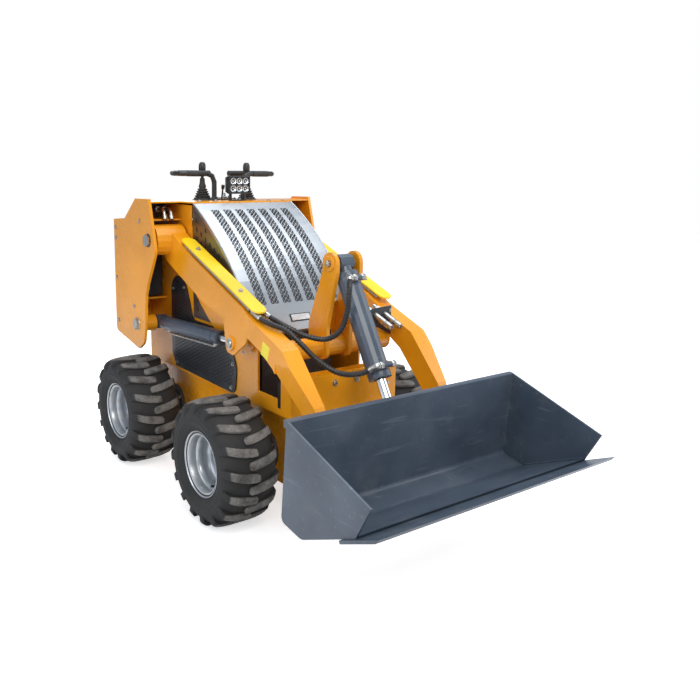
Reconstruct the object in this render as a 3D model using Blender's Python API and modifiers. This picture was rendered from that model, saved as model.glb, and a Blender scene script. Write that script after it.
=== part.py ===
"""Compact skid steer loader with a bucket, modelled as separate named parts.

Metres, +Z up. The machine faces -Y, its front axle is at y = 0 and its tyres stand on z = 0.
"""

import math

import bmesh
import bpy
from mathutils import Matrix, Vector

COLLECTION = "skid_steer_loader"
CUTTERS = "cutters"

TOUCH = 0.0003           # gap between pieces that touch
PIN_GAP = 0.0005         # radial gap of a pin in its bore
RUNNING_GAP = 0.008      # side gap between plates that move past each other
ARC_STEPS = 4            # segments of a rounded corner
ROUND = 16               # segments of a round piece
WHEEL_STEPS = 28

# wheels
WHEELBASE = 0.740
TYRE_RADIUS = 0.2286
TYRE_WIDTH = 0.216
TRACK_HALF = 0.397       # centre of a tyre from the machine's centre plane
RIM_RADIUS = 0.106       # where the tyre's beads sit
RIM_WIDTH = 0.178
RIM_LIP = 0.118
RIM_WALL = 0.005
DISC_OFFSET = -0.004     # the wheel disc from the tyre's centre, outward
DISC_THICKNESS = 0.006
HUB_RADIUS = 0.052
AXLE_RADIUS = 0.048

# chassis
BODY_HALF = 0.242        # outside of the upper side walls
TUB_HALF = 0.205         # outside of the lower tub between the wheels
WALL = 0.008
FRONT_Y = -0.190
REAR_Y = 0.925
BELLY_Z = 0.125
SHELF_Z = 0.400          # where the upper walls step out over the tub
WELL_Z = 0.455           # top of the side walls under the cross tube
TRAY_Z = 0.538           # top of the front cross box
SIDE_TOP_Z = 0.650       # side walls under the hood
BACK_TOP_Z = 1.020
TRAY_DEPTH = 0.050
FRONT_PLATE = 0.012
SIDE_PLATE = 0.005       # tower inner plate and side grilles

# towers
TOWER_OUT = 0.400
TOWER_PLATE = 0.012
PIVOT = (0.587, 0.967)         # lift arm pivot, (y, z)
CYLINDER_PIN = (0.712, 0.604)  # lower end of the lift cylinder
ROLLER = (0.890, 0.552)
ROLLER_R = 0.034
PIVOT_PIN_R = 0.0175
CYLINDER_PIN_R = 0.0150

# hood and console
HOOD_SHEET = 0.004
HOOD_HALF = 0.242
HOOD_BACK_Y = 0.500
HOOD_TOP_Z = 1.116
HOOD_MID = (0.259, 0.947)
HOOD_FRONT = (0.030, 0.6553)
DECK_SHEET = 0.006
DECK_Z = 1.122

# lift arms
ARM_IN = 0.255
ARM_OUT = 0.322
ARM_PLATE = 0.010
ARM_WEB = 0.0045            # inner side plate, deeper than the outer one
ARM_BOSS_R = 0.062
ROD_PIN = (0.065, 0.632)       # upper end of the lift cylinder, under the arm
BUCKET_PIN = (-0.430, 0.300)
BUCKET_PIN_R = 0.0125
ARM_END_R = 0.034
ARM_END_PLATE = 0.020          # the arm is this thick where it carries the bucket
CROSS_TUBE = (-0.110, 0.620)
CROSS_TUBE_R = 0.038
TILT_PIN = (-0.171, 0.931)
TILT_PIN_R = 0.0125
TILT_EAR_R = 0.040
TILT_EAR_IN = 0.045
TILT_EAR = 0.015
GUARD_PLATE = 0.006
GUARD_LIFT = 0.020             # underside of the guard above the arm
GUARD_LENGTH = 0.600
GUARD_TIP_Y = -0.094
ARM_TOP = ((0.369, 0.919), (0.000, 0.778))   # straight top of the beam
HOSE_R = 0.010
COUPLER_R = 0.0125

# lift cylinders
LIFT_BORE_R = 0.028
LIFT_ROD_R = 0.016
LIFT_BARREL_END = 0.520        # gland face from the lower pin
LIFT_RETRACT = 0.048           # travel left from the modelled pose to closed
LIFT_EYE_R = 0.030
LIFT_EYE_HALF = 0.015
LIFT_X = 0.2930

# tilt cylinder
TILT_BORE_R = 0.040
TILT_ROD_R = 0.018
TILT_BARREL_END = 0.427
TILT_RETRACT = 0.025
TILT_EYE_R = 0.031
TILT_EYE_HALF = 0.030
TILT_ROD_EYE = (-0.448, 0.452)
TILT_ROD_EYE_R = 0.026
TILT_ROD_EYE_HALF = 0.024
TILT_ROD_PIN_R = 0.0125

# bucket
BUCKET_HALF = 0.497
BUCKET_SHEET = 0.007
BUCKET_TOP = (-0.545, 0.540)
BUCKET_BACK = (-0.521, 0.224)
BUCKET_HEEL = (-0.624, 0.206)
BUCKET_FLOOR_END = (-0.864, 0.308)
BUCKET_CORNER = (-0.922, 0.412)
EDGE_TIP_Y = -(WHEELBASE + TYRE_RADIUS)   # cutting edge, as far forward as the tyres are back
EDGE_PLATE = 0.010
EDGE_HALF = 0.507
MOUNT_HALF = 0.305
MOUNT_PLATE = 0.010
MOUNT_LOW_Z = 0.250
MOUNT_HIGH_Z = 0.500
LUG = 0.010

# controls
STICK_X = 0.110
STICK_Y = 0.660
KNOB_TOP = 0.160
BOOT_R = 0.038
LOOP_R = 0.011

COLORS = {               # name: (colour, roughness, metallic)
    "orange_paint": ((0.80, 0.38, 0.02), 0.35, 0.0),
    "yellow_paint": ((0.95, 0.62, 0.03), 0.35, 0.0),
    "slate_paint": ((0.09, 0.12, 0.16), 0.45, 0.0),
    "stainless": ((0.62, 0.65, 0.68), 0.30, 1.0),
    "black_sheet": ((0.02, 0.025, 0.03), 0.5, 0.0),
    "black_plastic": ((0.015, 0.015, 0.016), 0.5, 0.0),
    "rubber": ((0.02, 0.02, 0.02), 0.8, 0.0),
    "silver_paint": ((0.60, 0.62, 0.64), 0.35, 0.6),
    "chrome": ((0.8, 0.8, 0.8), 0.1, 1.0),
    "steel": ((0.45, 0.45, 0.45), 0.35, 1.0),
    "cast_iron": ((0.12, 0.12, 0.12), 0.7, 0.4),
}


# ---------------------------------------------------------------- scene and helpers

def clear_scene():
    for item in list(bpy.data.objects):
        bpy.data.objects.remove(item)
    for name in (COLLECTION, CUTTERS):
        group = bpy.data.collections.new(name)
        bpy.context.scene.collection.children.link(group)


def material(name):
    found = bpy.data.materials.get(name)
    if found:
        return found
    color, roughness, metallic = COLORS[name]
    made = bpy.data.materials.new(name)
    made.use_nodes = True
    shader = made.node_tree.nodes["Principled BSDF"]
    shader.inputs["Base Color"].default_value = (*color, 1.0)
    shader.inputs["Roughness"].default_value = roughness
    shader.inputs["Metallic"].default_value = metallic
    return made


def mesh_object(name, mesh, group=CUTTERS):
    item = bpy.data.objects.new(name, mesh)
    bpy.data.collections[group].objects.link(item)
    item.display_type = "WIRE"
    item.hide_render = True
    return item


def rounded(outline):
    """Points of a closed outline whose corners (a, b, radius) are turned into arcs."""
    points = []
    count = len(outline)
    for i, corner in enumerate(outline):
        here = Vector(corner[:2])
        radius = corner[2] if len(corner) > 2 else 0.0
        if radius <= 0.0:
            points.append(here)
            continue
        before = (Vector(outline[i - 1][:2]) - here).normalized()
        after = (Vector(outline[(i + 1) % count][:2]) - here).normalized()
        half = before.angle(after) / 2
        reach = radius / math.tan(half)
        start = here + before * reach
        end = here + after * reach
        centre = here + (before + after).normalized() * (radius / math.sin(half))
        sweep = (start - centre).angle_signed(end - centre)
        steps = max(2, round(ARC_STEPS * abs(sweep) / (math.pi / 2)))
        for step in range(steps + 1):
            turned = Matrix.Rotation(-sweep * step / steps, 2) @ (start - centre)
            points.append(centre + turned)
    return points


def arc_through(first, middle, last, steps):
    """Points of the circular arc from first to last through middle."""
    a, b, c = Vector(first), Vector(middle), Vector(last)
    d = 2 * (a.x * (b.y - c.y) + b.x * (c.y - a.y) + c.x * (a.y - b.y))
    ux = (a.dot(a) * (b.y - c.y) + b.dot(b) * (c.y - a.y) + c.dot(c) * (a.y - b.y)) / d
    uy = (a.dot(a) * (c.x - b.x) + b.dot(b) * (a.x - c.x) + c.dot(c) * (b.x - a.x)) / d
    centre = Vector((ux, uy))
    sweep = (a - centre).angle_signed(c - centre)
    return [tuple(centre + Matrix.Rotation(-sweep * i / steps, 2) @ (a - centre))
            for i in range(steps + 1)]


AXIS_TURN = {            # local X, Y, Z of a flat outline: where they point
    "X": Matrix(((0, 0, 1, 0), (1, 0, 0, 0), (0, 1, 0, 0), (0, 0, 0, 1))),   # outline in (y, z)
    "Y": Matrix(((1, 0, 0, 0), (0, 0, -1, 0), (0, 1, 0, 0), (0, 0, 0, 1))),  # outline in (x, z)
    "Z": Matrix.Identity(4),                                                 # outline in (x, y)
}


def prism(outline, axis, low, high, holes=()):
    """Solid with a flat outline across axis, from low to high along it.

    A hole is (a, b, radius). With axis Y the outline's plane is (x, z).
    """
    curve = bpy.data.curves.new("outline", "CURVE")
    curve.dimensions = "2D"
    curve.fill_mode = "BOTH"
    curve.extrude = abs(high - low) / 2
    loops = [rounded(outline)]
    for a, b, radius in holes:
        loops.append([Vector((a + radius * math.cos(t * math.tau / ROUND),
                              b + radius * math.sin(t * math.tau / ROUND)))
                      for t in range(ROUND)])
    for loop in loops:
        spline = curve.splines.new("POLY")
        spline.points.add(len(loop) - 1)
        for point, place in zip(spline.points, loop):
            point.co = (place.x, place.y, 0.0, 1.0)
        spline.use_cyclic_u = True
    item = mesh_object("outline", curve)
    middle = (low + high) / 2
    shift = {"X": (middle, 0, 0), "Y": (0, middle, 0), "Z": (0, 0, middle)}[axis]
    return as_mesh(item, Matrix.Translation(shift) @ AXIS_TURN[axis])


def as_mesh(item, matrix=None):
    """Turn a curve object into a mesh object with welded caps, its place in its mesh."""
    graph = bpy.context.evaluated_depsgraph_get()
    graph.update()
    mesh = bpy.data.meshes.new_from_object(item.evaluated_get(graph))
    mesh.transform(matrix or item.matrix_world)
    bpy.data.objects.remove(item)
    shape = bmesh.new()
    shape.from_mesh(mesh)
    bmesh.ops.remove_doubles(shape, verts=shape.verts, dist=0.00001)
    bmesh.ops.recalc_face_normals(shape, faces=shape.faces)
    shape.to_mesh(mesh)
    shape.free()
    mesh.materials.clear()
    return mesh_object("solid", mesh)


def from_bmesh(shape):
    mesh = bpy.data.meshes.new("solid")
    bmesh.ops.recalc_face_normals(shape, faces=shape.faces)
    shape.to_mesh(mesh)
    shape.free()
    return mesh_object("solid", mesh)


def box(low, high):
    shape = bmesh.new()
    bmesh.ops.create_cube(shape, size=1.0)
    low, high = Vector(low), Vector(high)
    size = Matrix.Diagonal((*(high - low), 1.0))
    bmesh.ops.transform(shape, matrix=Matrix.Translation((low + high) / 2) @ size, verts=shape.verts)
    return from_bmesh(shape)


def rod(start, end, radius, end_radius=None, segments=ROUND):
    """Round bar or cone between two points."""
    start, end = Vector(start), Vector(end)
    along = end - start
    shape = bmesh.new()
    bmesh.ops.create_cone(shape, cap_ends=True, segments=segments, radius1=radius,
                          radius2=radius if end_radius is None else end_radius, depth=along.length)
    turn = along.to_track_quat("Z", "Y").to_matrix().to_4x4()
    bmesh.ops.transform(shape, matrix=Matrix.Translation((start + end) / 2) @ turn, verts=shape.verts)
    return from_bmesh(shape)


def turned(profile, place, segments, closed=False):
    """Profile of (radius, height) points turned about Z with a Screw modifier, then placed."""
    mesh = bpy.data.meshes.new("profile")
    edges = [(i, i + 1) for i in range(len(profile) - 1)]
    if closed:
        edges.append((len(profile) - 1, 0))
    mesh.from_pydata([(radius, 0.0, height) for radius, height in profile], edges, [])
    item = mesh_object("profile", mesh)
    screw = item.modifiers.new("turn", "SCREW")
    screw.steps = segments
    screw.render_steps = segments
    screw.use_merge_vertices = True
    screw.merge_threshold = 0.00001
    return as_mesh(item, place)


def tube(points, radius, sides=2):
    """Round bar along points."""
    curve = bpy.data.curves.new("path", "CURVE")
    curve.dimensions = "3D"
    curve.bevel_depth = radius
    curve.bevel_resolution = sides
    curve.use_fill_caps = True
    spline = curve.splines.new("POLY")
    spline.points.add(len(points) - 1)
    for point, place in zip(spline.points, points):
        point.co = (*place, 1.0)
    return as_mesh(mesh_object("path", curve))


def smooth_path(points, step):
    """Points about step apart on a smooth curve through the given ones."""
    knots = [Vector(p) for p in points]
    knots = [2 * knots[0] - knots[1], *knots, 2 * knots[-1] - knots[-2]]
    path = []
    for i in range(1, len(knots) - 2):
        a, b, c, d = knots[i - 1:i + 3]
        pieces = max(1, round((c - b).length / step))
        for j in range(pieces):
            t = j / pieces
            path.append(0.5 * (2 * b + (c - a) * t + (2 * a - 5 * b + 4 * c - d) * t ** 2
                               + (3 * b - a - 3 * c + d) * t ** 3))
    path.append(knots[-2])
    return path


def boolean(base, others, operation):
    for other in others:
        change = base.modifiers.new(operation.lower(), "BOOLEAN")
        change.operation = operation
        change.solver = "EXACT"
        change.object = other
    return base


def joined(base, *others):
    return boolean(base, others, "UNION")


def cut(base, *others):
    return boolean(base, others, "DIFFERENCE")


def across(side, near, far):
    """X range of a piece between two distances from the centre plane, on one side."""
    return sorted((side * near, side * far))


def pivot(name, place, parent=None):
    empty = bpy.data.objects.new(name, None)
    bpy.data.collections[COLLECTION].objects.link(empty)
    empty.parent = parent
    base = Vector(parent["place"]) if parent else Vector((0, 0, 0))
    empty.location = Vector(place) - base
    empty["place"] = tuple(place)
    return empty


def part(item, name, finish, parent=None):
    """Name a finished solid, move it to the parts and give it its parent's origin."""
    bpy.data.collections[CUTTERS].objects.unlink(item)
    bpy.data.collections[COLLECTION].objects.link(item)
    item.name = name
    item.data.name = name
    item.display_type = "TEXTURED"
    item.hide_render = False
    item.data.materials.clear()
    item.data.materials.append(material(finish))
    item.data.shade_smooth()
    item.data.set_sharp_from_angle(angle=math.radians(35))
    if parent:
        item.parent = parent
        item.data.transform(Matrix.Translation(-Vector(parent["place"])))
    return item


def at_x(x, point):
    return (x, point[0], point[1])


def along(start, end, distance):
    """Point in the (y, z) plane at a distance from start towards end."""
    start, end = Vector(start), Vector(end)
    return tuple(start + (end - start).normalized() * distance)


SIDES = (("right", -1), ("left", 1))


# ---------------------------------------------------------------- wheels

def wheel_place(side, y):
    """Local Z of a turned wheel piece points outward along the axle."""
    turn = Matrix.Rotation(side * math.pi / 2, 4, "Y")
    return Matrix.Translation((side * TRACK_HALF, y, TYRE_RADIUS)) @ turn


def tyre(side, y):
    half = TYRE_WIDTH / 2
    bead = RIM_RADIUS + TOUCH
    bead_half = RIM_WIDTH / 2 - 0.0045
    profile = [(bead, -bead_half), (RIM_LIP + 0.002, -bead_half), (0.150, -half + 0.003), (0.190, -half),
               (0.216, -half + 0.010), (TYRE_RADIUS, -half + 0.035)]
    mirrored = [(radius, -height) for radius, height in reversed(profile)]
    return turned(profile + mirrored, wheel_place(side, y), WHEEL_STEPS, closed=True)


def rim(side, y):
    lip = RIM_WIDTH / 2
    seat = RIM_RADIUS
    bore = RIM_RADIUS - RIM_WALL
    disc_out = DISC_OFFSET + DISC_THICKNESS / 2
    disc_in = DISC_OFFSET - DISC_THICKNESS / 2
    profile = [
        (0.0, disc_out + 0.030), (0.028, disc_out + 0.030), (0.030, disc_out),
        (0.075, disc_out), (bore, disc_out + 0.022),
        (bore, lip - 0.004), (RIM_LIP, lip + 0.002), (RIM_LIP, lip - 0.001), (seat, lip - 0.003),
        (seat, -lip + 0.003), (RIM_LIP, -lip + 0.001), (RIM_LIP, -lip - 0.002),
        (bore, -lip + 0.004), (bore, disc_in + 0.020), (0.075, disc_in),
        (HUB_RADIUS, disc_in), (HUB_RADIUS, disc_in - 0.045), (0.0, disc_in - 0.045),
    ]
    return turned(profile, wheel_place(side, y), WHEEL_STEPS)


def axle(side, y):
    """Hub motor housing that carries a wheel, bolted to the tub."""
    inner = TUB_HALF + TOUCH
    outer = TRACK_HALF + DISC_OFFSET - DISC_THICKNESS / 2 - 0.045 - TOUCH
    housing = rod((side * inner, y, TYRE_RADIUS), (side * outer, y, TYRE_RADIUS), AXLE_RADIUS)
    flange = rod((side * inner, y, TYRE_RADIUS), (side * (inner + 0.014), y, TYRE_RADIUS), 0.075)
    return joined(housing, flange)


def wheels():
    for end, y in (("front", 0.0), ("rear", WHEELBASE)):
        for hand, side in SIDES:
            spin = pivot(f"{end}_{hand}_wheel_axis", (side * TRACK_HALF, y, TYRE_RADIUS))
            part(tyre(side, y), f"{end}_{hand}_tyre", "rubber", spin)
            part(rim(side, y), f"{end}_{hand}_rim", "silver_paint", spin)
            part(axle(side, y), f"{end}_{hand}_axle", "cast_iron")


# ---------------------------------------------------------------- chassis

def chassis():
    """Welded tub: a narrow lower trough and wider upper walls over the wheels."""
    y0, y1 = FRONT_Y, REAR_Y
    side_view = [(y0, SHELF_Z), (y0, TRAY_Z), (y0 + TRAY_DEPTH, TRAY_Z), (y0 + TRAY_DEPTH, WELL_Z),
                 (HOOD_FRONT[0] - 0.020, WELL_Z), (HOOD_FRONT[0] - 0.020, SIDE_TOP_Z),
                 (HOOD_BACK_Y + 0.004, SIDE_TOP_Z), (HOOD_BACK_Y + 0.004, BACK_TOP_Z),
                 (y1, BACK_TOP_Z), (y1, SHELF_Z)]
    upper = prism(side_view, "X", -BODY_HALF, BODY_HALF)
    trough = box((-TUB_HALF, y0, BELLY_Z), (TUB_HALF, y1, SHELF_Z + WALL))
    inside = box((-BODY_HALF + WALL, y0 + TRAY_DEPTH, SHELF_Z + WALL),
                 (BODY_HALF - WALL, y1 - WALL, BACK_TOP_Z + 0.05))
    tray = box((-BODY_HALF + WALL, y0 + WALL, TRAY_Z - 0.030),
               (BODY_HALF - WALL, y0 + TRAY_DEPTH - WALL, TRAY_Z + 0.05))
    hollow = box((-TUB_HALF + WALL, y0 + WALL, BELLY_Z + WALL),
                 (TUB_HALF - WALL, y1 - WALL, SHELF_Z + 2 * WALL))
    return cut(joined(upper, trough), inside, tray, hollow)


def front_plate():
    y = FRONT_Y - TOUCH
    return box((-BODY_HALF, y - FRONT_PLATE, 0.180), (BODY_HALF, y, TRAY_Z))


def engine():
    return box((-0.165, 0.100, BELLY_Z + WALL + TOUCH), (0.165, 0.480, 0.640))


def hood():
    """Folded sheet over the engine, open below and behind."""
    back, front = (HOOD_BACK_Y, HOOD_TOP_Z), HOOD_FRONT
    top = arc_through(back, HOOD_MID, front, 12)
    under = arc_through((back[0], back[1] - HOOD_SHEET), (HOOD_MID[0] + 0.002, HOOD_MID[1] - HOOD_SHEET),
                        (front[0] + HOOD_SHEET, front[1]), 12)
    base = SIDE_TOP_Z + TOUCH
    outside = prism([*top, (front[0], base), (HOOD_BACK_Y, base)], "X", -HOOD_HALF, HOOD_HALF)
    inside = prism([(HOOD_BACK_Y + 0.05, under[0][1]), *under, (under[-1][0], base - 0.05),
                    (HOOD_BACK_Y + 0.05, base - 0.05)],
                   "X", -HOOD_HALF + HOOD_SHEET, HOOD_HALF - HOOD_SHEET)
    return cut(outside, inside)


def side_grille(side):
    outline = [(0.165, 0.404, 0.03), (0.660, 0.412, 0.02), (0.6947, 0.470, 0.02), (0.6947, 0.770, 0.05),
               (0.640, 0.815, 0.05), (0.560, 0.780, 0.05), (0.500, 0.640, 0.03), (0.225, 0.640, 0.06),
               (0.152, 0.510, 0.06)]
    low, high = across(side, BODY_HALF + TOUCH, BODY_HALF + TOUCH + SIDE_PLATE)
    return prism(outline, "X", low, high)


def tower(side):
    """Outer and inner plate with cross plates between; carries the arm and its cylinder."""
    outer_in = TOWER_OUT - TOWER_PLATE
    inner = BODY_HALF + TOUCH
    outline = [(0.578, 1.133), (0.703, 1.131), (0.817, 1.044), (0.936, 1.034), (0.940, 0.541, 0.02),
               (0.700, 0.498, 0.02), (0.650, 0.530, 0.045), (0.628, 0.620, 0.12), (0.628, 0.740, 0.20),
               (0.520, 0.925, 0.05)]
    holes = [(*PIVOT, PIVOT_PIN_R + PIN_GAP), (*CYLINDER_PIN, CYLINDER_PIN_R + PIN_GAP)]
    outer = prism(outline, "X", *across(side, outer_in, TOWER_OUT), holes)
    inner_outline = [(0.505, 0.830), (0.505, 1.108), (0.700, 1.108), (0.810, 1.030), (0.925, 1.020),
                     (0.925, 0.520), (0.695, 0.500), (0.695, 0.780, 0.06), (0.640, 0.830, 0.05)]
    inside = prism(inner_outline, "X", *across(side, inner, inner + SIDE_PLATE), holes)
    pieces = []
    for y0, y1, z0, z1 in ((0.600, 0.770, 1.044, 1.050), (0.740, 0.925, 0.700, 0.706),
                           (0.905, 0.913, 0.600, 1.020)):
        x0, x1 = across(side, inner + SIDE_PLATE / 2, outer_in + TOWER_PLATE / 2)
        pieces.append(box((x0, y0, z0), (x1, y1, z1)))
    boss = rod(at_x(side * (LIFT_X + TILT_EYE_HALF), CYLINDER_PIN),
               at_x(side * (outer_in + TOWER_PLATE / 2), CYLINDER_PIN), 0.034)
    bore = rod(at_x(side * (LIFT_X + 0.01), CYLINDER_PIN), at_x(side * (TOWER_OUT + 0.01), CYLINDER_PIN),
               CYLINDER_PIN_R + PIN_GAP)
    return cut(joined(outer, inside, *pieces, boss), bore)


def console_deck():
    """Bent top sheet from the hood to the operator's side, between the towers."""
    low = DECK_Z - DECK_SHEET
    outline = [(HOOD_BACK_Y + TOUCH, DECK_Z), (HOOD_BACK_Y + TOUCH, low), (0.700, low),
               (0.813, 1.033), (0.930, 1.0235), (0.930, 1.0235 + DECK_SHEET), (0.815, 1.039),
               (0.703, DECK_Z)]
    half = TOWER_OUT - TOWER_PLATE - TOUCH
    sheet = prism(outline, "X", -half, half)
    corners = [prism([(side * 0.2435, HOOD_BACK_Y - 0.01), (side * (half + 0.02), HOOD_BACK_Y - 0.01),
                      (side * (half + 0.02), 0.578), (side * 0.262, 0.575)],
                     "Z", low - 0.05, DECK_Z + 0.05)
               for _, side in SIDES]
    return cut(sheet, *corners)


def rear_panel():
    half = TOWER_OUT - TOWER_PLATE - TOUCH
    return box((-half, REAR_Y + TOUCH, 0.545), (half, REAR_Y + TOUCH + 0.006, 1.020))


def joystick(side):
    base = DECK_Z + TOUCH
    profile = [(0.0, KNOB_TOP), (0.010, KNOB_TOP - 0.002), (0.0155, KNOB_TOP - 0.012),
               (0.0140, KNOB_TOP - 0.038), (0.0075, KNOB_TOP - 0.046), (0.0070, 0.092),
               (0.013, 0.088), (0.026, 0.048), (BOOT_R, 0.004), (BOOT_R, 0.0), (0.0, 0.0)]
    return turned(profile, Matrix.Translation((side * STICK_X, STICK_Y, base)), 24)


def hand_loop(side):
    base = DECK_Z + TOUCH
    top = base + 0.112
    route = [(0.072, 0.625, base), (0.072, 0.625, top - 0.035), (0.082, 0.625, top - 0.010),
             (0.107, 0.625, top), (0.200, 0.625, top), (0.226, 0.632, top), (0.240, 0.655, top),
             (0.240, 0.680, top), (0.226, 0.703, top), (0.200, 0.710, top), (0.050, 0.710, top)]
    return tube([(side * x, y, z) for x, y, z in route], LOOP_R)


def work_light():
    base = DECK_Z + TOUCH
    lamp = prism([(-0.052, 1.150, 0.012), (0.052, 1.150, 0.012), (0.052, 1.226, 0.012),
                  (-0.052, 1.226, 0.012)], "Y", 0.532, 0.577)
    stem = box((-0.016, 0.545, base), (0.016, 0.571, 1.156))
    foot = box((-0.030, 0.535, base), (0.030, 0.580, base + 0.004))
    return joined(lamp, stem, foot)


def hook(side):
    x, y = side * 0.215, FRONT_Y - FRONT_PLATE - 2 * TOUCH
    route = [(x, y, 0.390), (x, y - 0.020, 0.390), (x, y - 0.028, 0.382), (x, y - 0.028, 0.345),
             (x, y - 0.020, 0.337), (x, y, 0.337)]
    return tube(route, 0.008)


def rear_roller(side):
    """Rubber disc inside the tower's lower rear corner."""
    outer = TOWER_OUT - TOWER_PLATE - TOUCH
    return rod(at_x(side * (outer - 0.034), ROLLER), at_x(side * outer, ROLLER), ROLLER_R)


def body():
    part(chassis(), "main_frame", "orange_paint")
    part(front_plate(), "front_plate", "orange_paint")
    part(engine(), "engine", "cast_iron")
    part(hood(), "hood", "stainless")
    part(console_deck(), "console_deck", "orange_paint")
    part(rear_panel(), "rear_panel", "orange_paint")
    part(work_light(), "work_light", "black_plastic")
    for hand, side in SIDES:
        part(tower(side), f"{hand}_tower", "orange_paint")
        part(side_grille(side), f"{hand}_side_grille", "black_sheet")
        part(joystick(side), f"{hand}_joystick", "black_plastic")
        part(hand_loop(side), f"{hand}_hand_loop", "black_plastic")
        part(hook(side), f"{hand}_front_hook", "black_sheet")
        part(rear_roller(side), f"{hand}_rear_roller", "rubber")
        part(pivot_pin(side), f"{hand}_pivot_pin", "steel")
        part(cylinder_pin(side), f"{hand}_cylinder_pin", "steel")


def pivot_pin(side):
    inner, outer = BODY_HALF + TOUCH, TOWER_OUT + 0.012
    shaft = rod(at_x(side * inner, PIVOT), at_x(side * outer, PIVOT), PIVOT_PIN_R)
    head = rod(at_x(side * (TOWER_OUT + TOUCH), PIVOT), at_x(side * outer, PIVOT), 0.026, segments=6)
    return joined(shaft, head)


def cylinder_pin(side):
    inner, outer = LIFT_X - TILT_EYE_HALF, TOWER_OUT + 0.012
    shaft = rod(at_x(side * inner, CYLINDER_PIN), at_x(side * outer, CYLINDER_PIN), CYLINDER_PIN_R)
    head = rod(at_x(side * (TOWER_OUT + TOUCH), CYLINDER_PIN), at_x(side * outer, CYLINDER_PIN), 0.024,
               segments=6)
    return joined(shaft, head)


# ---------------------------------------------------------------- lift arms

def arm(side):
    """Box arm: upper beam, elbow and a lower leg that tapers to one plate at the bucket."""
    beam = [(PIVOT[0] + 0.010, 1.0265, 0.02), (0.369, 0.919), (0.000, 0.778), (-0.076, 0.738), (-0.262, 0.668, 0.01),
            (-0.410, 0.506), (BUCKET_PIN[0] - ARM_END_R, BUCKET_PIN[1] + 0.100),
            (BUCKET_PIN[0] - ARM_END_R, BUCKET_PIN[1] - ARM_END_R, ARM_END_R - 0.001),
            (BUCKET_PIN[0] + ARM_END_R, BUCKET_PIN[1] - ARM_END_R, ARM_END_R - 0.001),
            (BUCKET_PIN[0] + ARM_END_R, BUCKET_PIN[1] + 0.100),
            (-0.206, 0.596, 0.02), (-0.130, 0.640, 0.02), (0.000, 0.690), (0.276, 0.754), (0.582, 0.882),
            (PIVOT[0] + 0.010, 0.905)]
    solid = prism(beam, "X", *across(side, ARM_IN, ARM_OUT))
    boss = rod(at_x(side * ARM_IN, PIVOT), at_x(side * (TOWER_OUT - TOWER_PLATE - 0.005), PIVOT), ARM_BOSS_R)
    inner_web = [(0.000, 0.700), (0.500, 0.860), (0.582, 0.870), (0.400, 0.713, 0.02), (0.300, 0.640, 0.05),
                 (0.140, 0.600, 0.03), (0.055, 0.588, 0.02), (-0.030, 0.650, 0.01)]
    outer_ear = [(0.000, 0.705), (0.120, 0.720), (0.104, 0.625, 0.02), (0.098, 0.595, 0.02),
                 (0.050, 0.590, 0.02), (-0.035, 0.650, 0.01), (-0.060, 0.695)]
    inner_plate = prism(inner_web, "X", *across(side, ARM_IN, ARM_IN + ARM_WEB))
    outer_plate = prism(outer_ear, "X", *across(side, ARM_OUT - ARM_PLATE, ARM_OUT))
    head = rod(at_x(side * (ARM_OUT - ARM_PLATE), ROD_PIN), at_x(side * (ARM_OUT + 0.008), ROD_PIN), 0.026)
    taper = prism([(ARM_IN + ARM_END_PLATE, 0.20), (ARM_IN + ARM_END_PLATE, 0.40),
                   (ARM_OUT + 0.0005, 0.62), (0.45, 0.62), (0.45, 0.20)],
                  "Y", -0.60, -0.22)
    if side < 0:
        taper.data.transform(Matrix.Scale(-1, 4, (1, 0, 0)))
        taper.data.flip_normals()
    bores = [rod(at_x(side * (ARM_IN - 0.01), place), at_x(side * 0.42, place), radius + PIN_GAP)
             for place, radius in ((PIVOT, PIVOT_PIN_R), (BUCKET_PIN, BUCKET_PIN_R))]
    return cut(joined(solid, boss, inner_plate, outer_plate, head), taper, *bores)


def hose_guard(side):
    """Rounded plate over the hoses on top of the arm, on two feet."""
    (y1, z1), (y0, z0) = ARM_TOP
    slope = math.atan2(z1 - z0, y1 - y0)
    length, half = GUARD_LENGTH, 0.029
    outline = [(0.0, -half, half - 0.001), (length, -half, half - 0.001), (length, half, half - 0.001),
               (0.0, half, half - 0.001)]
    plate = prism(outline, "Z", 0.0, GUARD_PLATE)
    feet = [box((at - 0.006, -0.012, TOUCH - GUARD_LIFT), (at + 0.006, 0.012, GUARD_PLATE / 2))
            for at in (0.125, 0.460)]
    tip_z = z0 + (GUARD_TIP_Y - y0) * math.tan(slope) + GUARD_LIFT / math.cos(slope)
    matrix = (Matrix.Translation((side * 0.291, GUARD_TIP_Y, tip_z))
              @ Matrix.Rotation(slope, 4, "X") @ Matrix.Rotation(math.pi / 2, 4, "Z"))
    for piece in (plate, *feet):
        piece.data.transform(matrix)
    return joined(plate, *feet)


def cross_tube():
    half = ARM_IN - TOUCH
    return rod(at_x(-half, CROSS_TUBE), at_x(half, CROSS_TUBE), CROSS_TUBE_R)


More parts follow.
